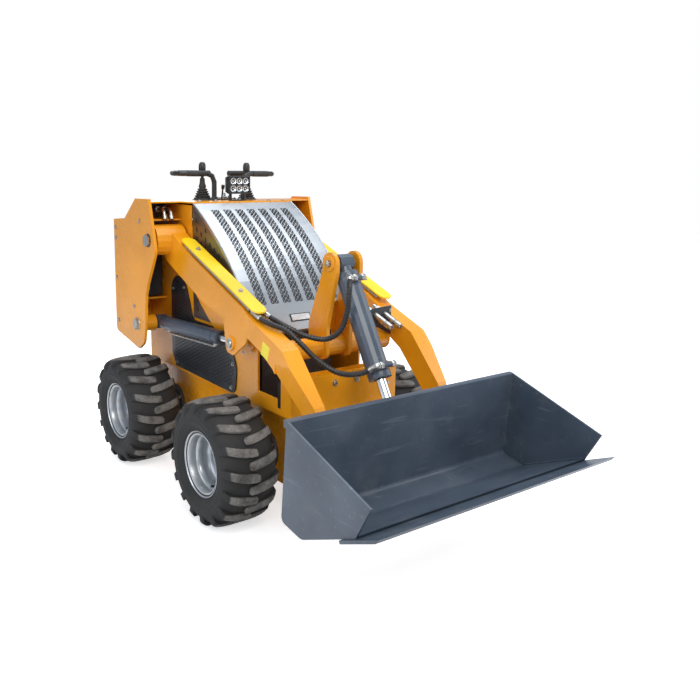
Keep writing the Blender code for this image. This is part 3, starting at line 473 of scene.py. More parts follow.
def sweep(path, radius, segments=12):
    """Round bar along a path; radius may be a number or one for each point."""
    def make(build):
        rings = []
        for i, (point, _, side, other) in enumerate(frames_along([Vector(p) for p in path])):
            r = radius[i] if isinstance(radius, (list, tuple)) else radius
            rings.append([build.verts.new(point + r * (math.cos(2 * math.pi * k / segments) * side
                                                      + math.sin(2 * math.pi * k / segments) * other))
                          for k in range(segments)])
        for one, two in zip(rings, rings[1:]):
            for k in range(segments):
                j = (k + 1) % segments
                build.faces.new((one[k], one[j], two[j], two[k]))
        build.faces.new(rings[0])
        build.faces.new(list(reversed(rings[-1])))
    return make


def plate(outline, axis, low, high):
    """Outline of (a, b) made solid along X, Y or Z."""
    def make(build):
        spots = {"X": lambda a, b, c: (c, a, b),
                 "Y": lambda a, b, c: (a, c, b),
                 "Z": lambda a, b, c: (a, b, c)}
        near = [build.verts.new(spots[axis](a, b, low)) for a, b in outline]
        far = [build.verts.new(spots[axis](a, b, high)) for a, b in outline]
        build.faces.new(near)
        build.faces.new(list(reversed(far)))
        for i in range(len(outline)):
            j = (i + 1) % len(outline)
            build.faces.new((near[i], far[i], far[j], near[j]))
    return make


def bevelled(item, width, segments=2, angle=40.0):
    edge = item.modifiers.new("soft edges", "BEVEL")
    edge.width = width
    edge.segments = segments
    edge.limit_method = "ANGLE"
    edge.angle_limit = math.radians(angle)
    made = bpy.data.meshes.new_from_object(item.evaluated_get(bpy.context.evaluated_depsgraph_get()))
    item.modifiers.remove(edge)
    old = item.data
    item.data = made
    bpy.data.meshes.remove(old)
    return item


# ---------------------------------------------------------------- repeats, as Geometry Nodes

class Repeats:
    """A Geometry Nodes tree with named sizes."""

    def __init__(self, name, sizes):
        self.tree = bpy.data.node_groups.new(name, "GeometryNodeTree")
        face = self.tree.interface
        face.new_socket("Geometry", in_out="INPUT", socket_type="NodeSocketGeometry")
        face.new_socket("Geometry", in_out="OUTPUT", socket_type="NodeSocketGeometry")
        self.names = {}
        for label, kind in sizes:
            self.names[label] = face.new_socket(label, in_out="INPUT", socket_type=kind).identifier
        self.start = self.tree.nodes.new("NodeGroupInput")
        self.end = self.tree.nodes.new("NodeGroupOutput")

    def given(self, label):
        return self.start.outputs[label]

    def node(self, kind, settings=None, sockets=None):
        made = self.tree.nodes.new(kind)
        for key, value in (settings or {}).items():
            setattr(made, key, value)
        for key, value in (sockets or {}).items():
            if isinstance(value, bpy.types.NodeSocket):
                self.tree.links.new(value, made.inputs[key])
            else:
                made.inputs[key].default_value = value
        return made

    def finish(self, geometry):
        real = self.node("GeometryNodeRealizeInstances", sockets={"Geometry": geometry})
        painted = self.node("GeometryNodeSetMaterial", sockets={"Geometry": real.outputs[0],
                                                               "Material": self.given("Finish")})
        self.tree.links.new(painted.outputs[0], self.end.inputs[0])

    def plain(self, name, mesh, values):
        """The tree's result on a mesh, as an object with a plain mesh."""
        item = bpy.data.objects.new(name, mesh)
        bpy.context.scene.collection.objects.link(item)
        change = item.modifiers.new("repeats", "NODES")
        change.node_group = self.tree
        for label, value in values.items():
            change[self.names[label]] = value
        found = item.evaluated_get(bpy.context.evaluated_depsgraph_get())
        made = bpy.data.meshes.new_from_object(found)
        item.modifiers.clear()
        item.data = made
        made.name = name
        finish = values["Finish"]
        made.materials.clear()
        made.materials.append(finish)
        for polygon in made.polygons:
            polygon.material_index = 0
        made.shade_smooth()
        made.set_sharp_from_angle(angle=math.radians(35))
        return item


def ring_of_shapes():
    """Copies of a shape turned evenly about the X axis, from Start radians on, then moved to Centre."""
    rings = Repeats("ring_of_shapes", [("Shape", "NodeSocketObject"), ("Count", "NodeSocketInt"),
                                       ("Start", "NodeSocketFloat"), ("Centre", "NodeSocketVector"),
                                       ("Finish", "NodeSocketMaterial")])
    points = rings.node("GeometryNodePoints", sockets={"Count": rings.given("Count")})
    index = rings.node("GeometryNodeInputIndex")
    share = rings.node("ShaderNodeMath", {"operation": "DIVIDE"},
                       {0: index.outputs[0], 1: rings.given("Count")})
    angle = rings.node("ShaderNodeMath", {"operation": "MULTIPLY_ADD"},
                       {0: share.outputs[0], 1: 2 * math.pi, 2: rings.given("Start")})
    turn = rings.node("ShaderNodeCombineXYZ", sockets={"X": angle.outputs[0]})
    model = rings.node("GeometryNodeObjectInfo", {"transform_space": "ORIGINAL"},
                       {"Object": rings.given("Shape")})
    placed = rings.node("GeometryNodeInstanceOnPoints", sockets={"Points": points.outputs[0],
                                                                 "Instance": model.outputs["Geometry"],
                                                                 "Rotation": turn.outputs[0]})
    moved = rings.node("GeometryNodeTransform", sockets={"Geometry": placed.outputs[0],
                                                        "Translation": rings.given("Centre")})
    rings.finish(moved.outputs[0])
    return rings


def shapes_on_points():
    """A shape at each point of a mesh, turned by the point's attribute named turn, times Size."""
    spots = Repeats("shapes_on_points", [("Shape", "NodeSocketObject"), ("Size", "NodeSocketFloat"),
                                         ("Finish", "NodeSocketMaterial")])
    points = spots.node("GeometryNodeMeshToPoints", sockets={"Mesh": spots.given("Geometry")})
    turn = spots.node("GeometryNodeInputNamedAttribute", {"data_type": "FLOAT_VECTOR"}, {"Name": "turn"})
    model = spots.node("GeometryNodeObjectInfo", {"transform_space": "ORIGINAL"},
                       {"Object": spots.given("Shape")})
    placed = spots.node("GeometryNodeInstanceOnPoints", sockets={"Points": points.outputs[0],
                                                                 "Instance": model.outputs["Geometry"],
                                                                 "Rotation": turn.outputs["Attribute"],
                                                                 "Scale": spots.given("Size")})
    spots.finish(placed.outputs[0])
    return spots


def helper(name, mesh):
    """A shape that a tree copies; its maker removes it."""
    item = bpy.data.objects.new("copied_" + name, mesh)
    bpy.context.scene.collection.objects.link(item)
    return item


def spots_mesh(places):
    """Points with a turn: places are (point, direction that local Z takes, direction near local X)."""
    mesh = bpy.data.meshes.new("spots")
    mesh.from_pydata([tuple(point) for point, _, _ in places], [], [])
    turns = mesh.attributes.new("turn", "FLOAT_VECTOR", "POINT")
    for i, (_, up, right) in enumerate(places):
        z = Vector(up).normalized()
        x = (Vector(right) - z * Vector(right).dot(z)).normalized()
        matrix = Matrix((x, z.cross(x), z)).transposed()
        turns.data[i].vector = tuple(matrix.to_euler("XYZ"))
    return mesh


def bolt_head():
    """Hexagon head one metre across flats, on a washer, up local Z."""
    return solid([bar((0, 0, 0.0), (0, 0, 0.12), 0.78, segments=20, bevel=0.03),
                  bar((0, 0, 0.10), (0, 0, 0.62), 0.577, segments=6, bevel=0.07),
                  bar((0, 0, 0.60), (0, 0, 0.68), 0.30, 0.27, segments=12)])


def bolts(name, places, across, finish, body):
    spots = TREES["spots"]
    head = helper("head", bolt_head())
    item = spots.plain(name, spots_mesh(places), {"Shape": head, "Size": across, "Finish": finish})
    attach(item, body)
    bpy.data.objects.remove(head)
    return item


TREES = {}
FINISHES = {}
ARM_X = 0.291                                # middle of an arm's upper face
ARM_SLOPE = math.atan2(0.141, 0.369)         # of the arms' upper face, from the level
ARM_PIVOT = (0.587, 0.967)                   # (y, z), as are the next four
CYLINDER_FOOT = (0.712, 0.604)
LIFT_ROD_EYE = (0.065, 0.632)
REAR_ROLLER = (0.890, 0.552)
CROSS_TUBE = (-0.110, 0.620)
LIFT_CYLINDER_X = 0.293
AXLES = (("front", 0.0), ("rear", 0.740))    # end, y
AXLE_HEIGHT = 0.2286


def add(name, parts, finish, body, bevel=0.0, angle=35.0):
    """A piece that rides on a body."""
    item = shape(name, solid(parts), FINISHES[finish], angle)
    if bevel:
        bevelled(item, bevel)
    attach(item, body)
    return item


# ---------------------------------------------------------------- hoses

TILT_PIN = Vector((-0.171, 0.931))
TILT_ROD_EYE = Vector((-0.448, 0.452))
HOSES = (   # name, port along the barrel, its half length, route
    ("upper_tilt_hose", 0.080, 0.022,
     ((-0.268, -0.047, 0.7680), (-0.262, -0.085, 0.7530), (-0.225, -0.145, 0.7200),
      (-0.170, -0.190, 0.6880), (-0.115, -0.230, 0.6780), (-0.078, -0.262, 0.7100),
      (-0.066, -0.282, 0.7800), (-0.068, -0.294, 0.8450), (-0.055, -0.280, 0.8850))),
    ("lower_tilt_hose", 0.400, 0.030,
     ((-0.302, -0.047, 0.7680), (-0.298, -0.090, 0.7490), (-0.278, -0.140, 0.7310),
      (-0.245, -0.180, 0.7130), (-0.215, -0.220, 0.6720), (-0.175, -0.262, 0.6180),
      (-0.125, -0.315, 0.5780), (-0.082, -0.375, 0.5820))),
)
PORT_OUT = 0.054


def hose_path(port, half, route):
    axis = (TILT_ROD_EYE - TILT_PIN).normalized()
    y, z = TILT_PIN + axis * port + Vector((axis.y, -axis.x)) * PORT_OUT
    end = (-half - 0.0003, y, z)
    before = (-half - 0.016, y, z)
    return smooth_path([*route, before, end], 0.006)


def path_length(path):
    return sum((b - a).length for a, b in zip(path, path[1:]))


def hoses():
    sizes = bpy.context.scene.loader_hoses
    for name, port, half, route in HOSES:
        path = hose_path(port, half, route)
        item = shape(f"{name}_rubber", solid([sweep(path, sizes.radius, 14)]), FINISHES["hose"])
        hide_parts(name)
        spiral = shape(f"{name}_spiral", solid([helix(path, sizes)]), FINISHES["hose_guard"], 60.0)
        first = ferrule(path, 0.052)
        last = ferrule(list(reversed(path)), 0.046)
        ends = []
        for label, parts in (("first", first), ("last", last)):
            end = shape(f"{name}_{label}_ferrule", solid(parts), FINISHES["zinc"])
            ends.append(end)
        for piece in (item, spiral):
            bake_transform(piece)
        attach(ends[0], "arms")
        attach(ends[1], "tilt_barrel")
        path_length(path)


def helix(path, sizes):
    """Flat strip wound round the hose between its ferrules."""
    def make(build):
        places = frames_along(path)
        total = path_length(path)
        walked, marks = 0.0, []
        for i, (point, tangent, side, other) in enumerate(places):
            if i:
                walked += (path[i] - path[i - 1]).length
            marks.append((walked, point, tangent, side, other))
        turns = (total - 0.120) / sizes.guard_pitch
        steps = int(turns * 12)
        rings = []
        for k in range(steps + 1):
            far = 0.062 + (total - 0.120) * k / steps
            j = max(i for i, mark in enumerate(marks) if mark[0] <= far)
            j = min(j, len(marks) - 2)
            part = (far - marks[j][0]) / (marks[j + 1][0] - marks[j][0])
            point = marks[j][1].lerp(marks[j + 1][1], part)
            tangent, side, other = marks[j][2:]
            angle = 2 * math.pi * turns * k / steps
            out = math.cos(angle) * side + math.sin(angle) * other
            wide = sizes.guard_pitch * 0.27
            low, high = sizes.radius - 0.0006, sizes.guard_radius
            rings.append([build.verts.new(point + out * r + tangent * t)
                          for r, t in ((low, -wide), (high, -wide * 0.7), (high, wide * 0.7), (low, wide))])
        for one, two in zip(rings, rings[1:]):
            for i in range(4):
                j = (i + 1) % 4
                build.faces.new((one[i], two[i], two[j], one[j]))
        build.faces.new(rings[0])
        build.faces.new(list(reversed(rings[-1])))
    return make


def ferrule(path, long):
    """Crimped sleeve and hexagon nut at the start of a path."""
    places = frames_along(path)
    walked = [0.0]
    for a, b in zip(path, path[1:]):
        walked.append(walked[-1] + (b - a).length)

    def at(distance):
        j = max(i for i, mark in enumerate(walked) if mark <= distance)
        j = min(j, len(path) - 2)
        part = (distance - walked[j]) / (walked[j + 1] - walked[j])
        return path[j].lerp(path[j + 1], part)
    marks = [long * k / 12 for k in range(3, 13)]
    radii = [0.0102, 0.0108, 0.0108, 0.0104, 0.0108, 0.0104, 0.0108, 0.0108, 0.0104, 0.0098]
    return [sweep([at(mark) for mark in marks], radii, 16),
            bar(at(0.0), at(long * 0.13), 0.0092, segments=16),
            bar(at(long * 0.10), at(long * 0.30), 0.0118, segments=6, bevel=0.001)]


# ---------------------------------------------------------------- wheels

def lug(side, sizes):
    """Bent bar from just past the middle over the shoulder, on top of a wheel at the origin."""
    radius, half, height = sizes.radius, sizes.half_width, sizes.lug_height
    base = radius - height
    stations = (   # across, top radius, base radius, share of the width, turn along the tread
        (-0.020, radius - 0.0035, base - 0.004, 0.45, 0.000),
        (-0.015, radius, base - 0.004, 0.85, 0.002),
        (0.000, radius, base - 0.004, 1.00, 0.008),
        (0.030, radius, base - 0.004, 1.00, 0.028),
        (0.058, radius - 0.0012, base - 0.006, 1.00, 0.060),
        (0.080, radius - 0.0045, base - 0.012, 1.02, 0.098),
        (0.0945, radius - 0.0110, base - 0.022, 1.06, 0.128),
        (0.1040, radius - 0.0235, base - 0.034, 1.10, 0.146),
        (half - 0.0012, radius - 0.0440, base - 0.046, 0.90, 0.158),
    )

    def make(build):
        rings = []
        for across, top, low, wide, turn in stations:
            ring = []
            for far, share in ((low, -0.62), (top, -0.46), (top, 0.46), (low, 0.62)):
                angle = -turn + share * wide * sizes.lug_width / radius
                inward = 0.012 if far == low and across > 0.1 else 0.0
                ring.append(build.verts.new((side * (across - inward), math.sin(-angle) * far,
                                             math.cos(angle) * far)))
            rings.append(ring)
        for one, two in zip(rings, rings[1:]):
            for i in range(4):
                j = (i + 1) % 4
                build.faces.new((one[i], two[i], two[j], one[j]))
        build.faces.new(rings[0])
        build.faces.new(list(reversed(rings[-1])))
    mesh = solid([make])
    item = helper("lug", mesh)
    return bevelled(item, 0.0018, 2, 30.0)


def wheels():
    sizes = bpy.context.scene.loader_tyres
    paints = bpy.context.scene.loader_paints
    pitch = 2 * math.pi / sizes.lug_count
    for end in ("front", "rear"):
        for hand, side in SIDES:
            low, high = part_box(f"{end}_{hand}_tyre")
            centre = (Vector(low) + Vector(high)) / 2
            body = f"{end}_{hand}_wheel"
            rubber = tyre_rubber(f"{body}_rubber", centre, sizes.radius, paints.dust)
            carcass = tyre_carcass(f"{end}_{hand}_carcass", centre, side, sizes, rubber)
            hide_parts(f"{end}_{hand}_tyre")
            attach(carcass, body)
            for label, lug_side, start in (("outer", side, 0.0), ("inner", -side, pitch / 2)):
                model = lug(lug_side, sizes)
                item = TREES["ring"].plain(f"{end}_{hand}_{label}_lugs", bpy.data.meshes.new("none"),
                                           {"Shape": model, "Count": sizes.lug_count, "Start": start,
                                            "Centre": tuple(centre), "Finish": rubber})
                bpy.data.objects.remove(model)
                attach(item, body)
            wheel_disc(f"{end}_{hand}", centre, side, body)


def tyre_carcass(name, centre, side, sizes, rubber):
    tread = sizes.radius - sizes.lug_height
    half = sizes.half_width
    outer = [(0.1064, 0.0840), (0.1130, 0.0880), (0.1190, 0.0885), (0.1230, 0.0905), (0.1262, 0.0955),
             (0.1300, 0.0975), (0.1330, 0.0962), (0.1400, 0.1000), (0.1520, 0.1042), (0.1540, 0.1056),
             (0.1575, 0.1058), (0.1592, 0.1050), (0.1700, 0.1065), (0.1800, 0.1055), (0.1920, half - 0.0090),
             (0.2030, half - 0.0190), (tread - 0.0010, half - 0.0420), (tread + 0.0018, 0.0250)]
    profile = outer + [(radius, -across) for radius, across in reversed(outer)]
    turn = Matrix.Translation(centre) @ Matrix.Rotation(side * math.pi / 2, 4, "Y")
    return shape(name, solid([lathe(profile, turn, 72, closed=True)]), rubber, 50.0)


def wheel_disc(stem, centre, side, body):
    """Pressed wheel: rolled lip, stepped barrel, dished disc, bolts, cap and valve."""
    profile = [
        (0.0, 0.0300), (0.020, 0.0300), (0.0245, 0.0285), (0.0265, 0.0240), (0.0270, 0.0030),
        (0.0300, 0.0000),
        (0.0500, 0.0010), (0.0580, 0.0040), (0.0660, 0.0062), (0.0760, 0.0040), (0.0850, 0.0080),
        (0.0900, 0.0160), (0.0915, 0.0320), (0.0920, 0.0480), (0.0955, 0.0530), (0.0990, 0.0560),
        (0.1000, 0.0640), (0.1005, 0.0780), (0.1035, 0.0835), (0.1100, 0.0860), (0.1150, 0.0885),
        (0.1180, 0.0920), (0.1195, 0.0910), (0.1195, 0.0880), (0.1160, 0.0852), (0.1070, 0.0838),
        (0.1058, 0.0760), (0.1058, -0.0760), (0.1070, -0.0838), (0.1180, -0.0860), (0.1195, -0.0900),
        (0.1180, -0.0915), (0.1030, -0.0850), (0.1005, -0.0780), (0.0990, -0.0300), (0.0850, -0.0040),
        (0.0760, -0.0070), (0.0520, -0.0070), (0.0520, -0.0500), (0.0, -0.0500),
    ]
    turn = Matrix.Translation(centre) @ Matrix.Rotation(side * math.pi / 2, 4, "Y")
    paint = wheel_paint(f"{stem}_wheel_paint", centre)
    item = shape(f"{stem}_wheel_disc", solid([lathe(profile, turn, 64)]), paint, 40.0)
    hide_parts(f"{stem}_rim")
    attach(item, body)
    places = []
    for k in range(5):
        angle = 2 * math.pi * k / 5 + 0.3
        spot = Vector((side * 0.0035, math.cos(angle) * 0.046, math.sin(angle) * 0.046)) + centre
        places.append((spot, (side, 0, 0), (0, 1, 0)))
    across = bpy.context.scene.loader_fasteners.wheel
    bolts(f"{stem}_wheel_bolts", places, across, FINISHES["zinc"], body)
    a = centre + Vector((side * 0.058, -0.062, -0.068))
    b = centre + Vector((side * 0.082, -0.058, -0.064))
    neck = a.lerp(b, 0.5)
    add(f"{stem}_valve", [bar(a, neck, 0.0055, 0.0042, 12), bar(neck, b, 0.0042, segments=12, bevel=0.001)],
        "plastic", body)


# ---------------------------------------------------------------- hood and grilles

def hood_arc(count):
    """Points of the hood's top line, (y, z), evenly apart, with their slopes."""
    a, b, c = Vector((0.500, 1.116)), Vector((0.259, 0.947)), Vector((0.030, 0.6553))
    d = 2 * (a.x * (b.y - c.y) + b.x * (c.y - a.y) + c.x * (a.y - b.y))
    x = (a.length_squared * (b.y - c.y) + b.length_squared * (c.y - a.y) + c.length_squared * (a.y - b.y)) / d
    y = (a.length_squared * (c.x - b.x) + b.length_squared * (a.x - c.x) + c.length_squared * (b.x - a.x)) / d
    centre = Vector((x, y))
    first = math.atan2(a.y - y, a.x - x)
    last = math.atan2(c.y - y, c.x - x)
    radius = (a - centre).length
    marks = []
    for i in range(count + 1):
        angle = first + (last - first) * i / count
        out = Vector((math.cos(angle), math.sin(angle)))
        marks.append((centre + out * radius, out))
    return marks, abs(last - first) * radius


def pinwheel(cell):
    """Four triangles in one square, between its diagonals, up local Z."""
    parts = []
    for k in range(4):
        turn = Matrix.Rotation(k * math.pi / 2, 2)
        inner, outer, half = 0.085 * cell, 0.455 * cell, 0.370 * cell
        corners = [turn @ Vector(p) for p in ((inner, 0.0), (outer, -half), (outer, half))]
        parts.append(plate([tuple(p) for p in corners], "Z", -0.0010, 0.0004))
    return solid(parts)


def hood():
    sizes = bpy.context.scene.loader_hood
    marks, total = hood_arc(600)
    places = []
    for stripe in range(sizes.stripes):
        middle = (stripe - (sizes.stripes - 1) / 2) * sizes.pitch
        for column in (-0.5, 0.5):
            for row in range(sizes.rows):
                far = 0.052 + (row + 0.5) * sizes.cell
                point, out = marks[round(far / total * 600)]
                spin = ((1, 0, 0), (0, out.y, -out.x))[(row + int(column + 0.5)) % 2]
                places.append(((middle + column * sizes.cell, point.x, point.y), (0, out.x, out.y), spin))
    tile = helper("pinwheel", pinwheel(sizes.cell))
    item = TREES["spots"].plain("hood_perforations", spots_mesh(places),
                                {"Shape": tile, "Size": 1.0, "Finish": FINISHES["dark"]})
    bpy.data.objects.remove(tile)
    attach(item, "chassis")
    hood_sides()
    name_plate()


def capsule(long, wide):
    half = wide / 2
    points = []
    for end in (1, -1):
        for k in range(5):
            angle = -math.pi / 2 + math.pi * k / 4
            points.append((end * (long / 2 - half + half * math.cos(angle)), end * half * math.sin(angle)))
    return solid([plate(points, "Z", -0.0004, 0.0004)])


def hood_sides():
    """Side sheets in the hood's stainless painted darker as shade, with staggered slots, and the folded edge
    of the top sheet over them.
    """
    marks, _ = hood_arc(24)
    for hand, side in SIDES:
        x = side * 0.2424
        outline = [(p.x + 0.004, p.y - 0.012) for p, _ in marks if p.y > 0.675]
        outline = outline + [(0.070, 0.654), (0.498, 0.654)]
        outline[0] = (0.498, outline[0][1])
        if side < 0:
            outline = list(reversed(outline))
        faces = sorted((x, x - side * 0.0006))
        add(f"{hand}_hood_side", [plate(outline, "X", *faces)], "shaded_steel", "chassis")
        places = []
        for column in range(11):
            for row in range(12):
                y = 0.105 + column * 0.036
                z = 0.690 + row * 0.036 + (0.018 if column % 2 else 0.0)
                near = min(marks, key=lambda mark: abs(mark[0].x - y))
                if z < near[0].y - 0.045 and y < 0.485:
                    places.append(((x + side * 0.0003, y, z), (side, 0, 0), (0, 0.35, 0.94)))
        slot_shape = helper("slot", capsule(0.021, 0.009))
        item = TREES["spots"].plain(f"{hand}_hood_slots", spots_mesh(places),
                                    {"Shape": slot_shape, "Size": 1.0, "Finish": FINISHES["dark"]})
        bpy.data.objects.remove(slot_shape)
        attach(item, "chassis")
        edge = [(side * 0.2395, p.x, p.y - 0.0005) for p, _ in marks]
        add(f"{hand}_hood_fold", [sweep(edge, 0.0030, 8)], "stainless", "chassis")


def name_plate():
    """Blank framed plate low on the hood, and the turned-up lower edge."""
    marks, total = hood_arc(600)
    point, out = marks[round((total - 0.052) / total * 600)]
    normal = Vector((0, out.x, out.y))
    down = Vector((0, -out.y, out.x))
    matrix = Matrix((Vector((1, 0, 0)), down, normal)).transposed().to_4x4()
    matrix = Matrix.Translation(Vector((-0.020, point.x, point.y)) + normal * 0.0005) @ matrix
    for name, half, tall, low, high, finish in (
            ("hood_plate_frame", 0.046, 0.0155, -0.001, 0.0022, "plastic"),
            ("hood_plate", 0.042, 0.0120, 0.0, 0.0030, "white_plate")):
        mesh = solid([block((-half, -tall, low), (half, tall, high), 0.0008)])
        mesh.transform(matrix)
        item = shape(name, mesh, FINISHES[finish])
        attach(item, "chassis")
    add("hood_lower_edge", [block((-0.2415, 0.0262, 0.6515), (0.2415, 0.0305, 0.6600), 0.001)], "stainless",
        "chassis")
    places = [((side * x, 0.509 + y, 1.1222), (0, 0, 1), (1, 0, 0)) for side in (-1, 1)
              for x, y in ((0.205, 0.0), (0.130, 0.0))]
    bolts("hood_hinge_bolts", places, 0.010, FINISHES["zinc"], "chassis")


def grilles():
    """Rows of small rectangular holes in the side plates, and their screws."""
    sizes = bpy.context.scene.loader_fasteners
    for hand, side in SIDES:
        x = side * (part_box("left_side_grille")[1][0] + 0.0001)
        places = []
        for column in range(40):
            for row in range(26):
                y = 0.180 + column * 0.0165
                z = 0.420 + row * 0.0150 + (0.0075 if column % 2 else 0.0)
                if inside_grille(y, z):
                    places.append(((x, y, z), (side, 0, 0), (0, 0, 1)))
        hole = helper("hole", solid([block((-0.0036, -0.0052, -0.0003), (0.0036, 0.0052, 0.0004))]))
        item = TREES["spots"].plain(f"{hand}_grille_holes", spots_mesh(places),
                                    {"Shape": hole, "Size": 1.0, "Finish": FINISHES["dark"]})
        bpy.data.objects.remove(hole)
        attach(item, "chassis")
        screws = [((x, y, z), (side, 0, 0), (0, 1, 0)) for y, z in
                  ((0.178, 0.520), (0.236, 0.620), (0.480, 0.622), (0.650, 0.430), (0.190, 0.425),
                   (0.675, 0.750), (0.575, 0.765))]
        bolts(f"{hand}_grille_screws", screws, sizes.screw, FINISHES["zinc"], "chassis")


def inside_grille(y, z):
    """Whether a hole fits in the side plate, away from its edge."""
    outline = [(0.165, 0.404), (0.660, 0.412), (0.6947, 0.470), (0.6947, 0.770), (0.640, 0.815),
               (0.560, 0.780), (0.500, 0.640), (0.225, 0.640), (0.152, 0.510)]
    inside = False
    count = len(outline)
    nearest = 9.0
    here = Vector((y, z))
    for i in range(count):
        a, b = Vector(outline[i]), Vector(outline[(i + 1) % count])
        if (a.y > z) != (b.y > z) and y < (b.x - a.x) * (z - a.y) / (b.y - a.y) + a.x:
            inside = not inside
        t = max(0.0, min(1.0, (here - a).dot(b - a) / (b - a).length_squared))
        nearest = min(nearest, (here - a.lerp(b, t)).length)
    return inside and nearest > 0.024


# ---------------------------------------------------------------- controls

def controls():
    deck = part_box("left_joystick")[0][2]
    for hand, side in SIDES:
        low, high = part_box(f"{hand}_joystick")
        centre = Vector(((low[0] + high[0]) / 2, (low[1] + high[1]) / 2, deck))
        place = Matrix.Translation(centre)
        boot = [(0.0, 0.0), (0.0378, 0.0), (0.0378, 0.004)]
        for k in range(5):
            z = 0.005 + k * 0.0095
            wide = 0.0370 - k * 0.0040
            boot += [(wide, z), (wide + 0.0008, z + 0.0022), (wide - 0.0012, z + 0.0045),
                     (wide - 0.0072, z + 0.0062), (wide - 0.0072, z + 0.0080)]
        boot += [(0.0165, 0.0560), (0.0120, 0.0700), (0.0105, 0.0840), (0.0105, 0.0900), (0.0085, 0.0925),
                 (0.0, 0.0925)]
        add(f"{hand}_boot", [lathe(boot, place, 36)], "rubber", "chassis", angle=60.0)
        knob = [(0.0, 0.0900), (0.0066, 0.0900), (0.0066, 0.1120), (0.0090, 0.1135), (0.0128, 0.1190),
                (0.0150, 0.1290), (0.0153, 0.1400), (0.0145, 0.1490), (0.0118, 0.1560), (0.0070, 0.1596),
                (0.0, 0.1602)]
        item = add(f"{hand}_knob", [lathe(knob, place, 32)], "plastic", "chassis",
                   angle=60.0)
        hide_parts(f"{hand}_joystick")
        add(f"{hand}_boot_ring", [lathe([(0.0360, 0.0), (0.0450, 0.0), (0.0450, 0.0022), (0.0435, 0.0035),
                                         (0.0380, 0.0035)], place, 36, closed=True)],
            "sheet_black", "chassis")
        loop_dressing(hand, side, deck)
    dash(deck)


def loop_dressing(hand, side, deck):
    """Rubber sleeves on the hand loop's two bars, and its foot."""
    top = deck + 0.112
    front = [(side * x, 0.625, top) for x in (0.120, 0.150, 0.180, 0.200)]
    back = [(side * x, 0.710, top) for x in (0.198, 0.150, 0.100, 0.0465)]
    ends = [0.0125, 0.0128, 0.0128, 0.0125]
    add(f"{hand}_loop_sleeves", [sweep(front, ends, 18), sweep(back, ends, 18)], "rubber", "chassis",
        bevel=0.001)
    foot = Matrix.Translation((side * 0.072, 0.625, deck))
    profile = [(0.0, 0.0), (0.020, 0.0), (0.020, 0.004), (0.0135, 0.006), (0.0125, 0.014), (0.0, 0.014)]
    add(f"{hand}_loop_foot", [lathe(profile, foot, 28)], "sheet_black", "chassis")


def dash(deck):
    """Small panel with a blank gauge, a key switch and a throttle lever between the sticks."""
    add("dash_panel", [block((-0.046, 0.640, deck), (0.046, 0.730, deck + 0.006), 0.002)], "sheet_black",
        "chassis")
    gauge = Matrix.Translation((-0.018, 0.690, deck + 0.006))
    ring = [(0.0165, 0.0), (0.0200, 0.0), (0.0200, 0.005), (0.0185, 0.0065), (0.0165, 0.0055)]
    add("dash_gauge_ring", [lathe(ring, gauge, 36, closed=True)], "zinc", "chassis")
    add("dash_gauge_face", [lathe([(0.0, 0.0), (0.0168, 0.0), (0.0168, 0.0032), (0.0, 0.0032)], gauge, 36)],
        "white_plate", "chassis")
    add("dash_needle", [block((-0.0190, 0.680, deck + 0.0092), (-0.0175, 0.698, deck + 0.0100))], "plastic",
        "chassis")
    key = Vector((0.024, 0.705, deck + 0.006))
    add("dash_switches", [bar(key, key + Vector((0, 0, 0.006)), 0.011, segments=24, bevel=0.001),
                          block(key + Vector((-0.0015, -0.008, 0.005)), key + Vector((0.0015, 0.008, 0.022)),
                                0.0008),
                          bar((0.024, 0.665, deck + 0.006), (0.024, 0.665, deck + 0.011), 0.0085, segments=24,
                              bevel=0.001),
                          bar((0.024, 0.665, deck + 0.010), (0.024, 0.665, deck + 0.017), 0.0062, segments=20,
                              bevel=0.001)],
        "zinc", "chassis")
    stem = bar((-0.020, 0.652, deck + 0.004), (-0.020, 0.642, deck + 0.050), 0.0035, segments=12)
    grip = bar((-0.020, 0.6425, deck + 0.046), (-0.020, 0.639, deck + 0.064), 0.0070, 0.0078, 16,
               bevel=0.0015)
    add("throttle_lever", [stem, grip], "plastic", "chassis")
    places = [((side * 0.040, y, deck + 0.006), (0, 0, 1), (1, 0, 0))
              for side in (-1, 1) for y in (0.646, 0.724)]
    bolts("dash_screws", places, 0.006, FINISHES["zinc"], "chassis")


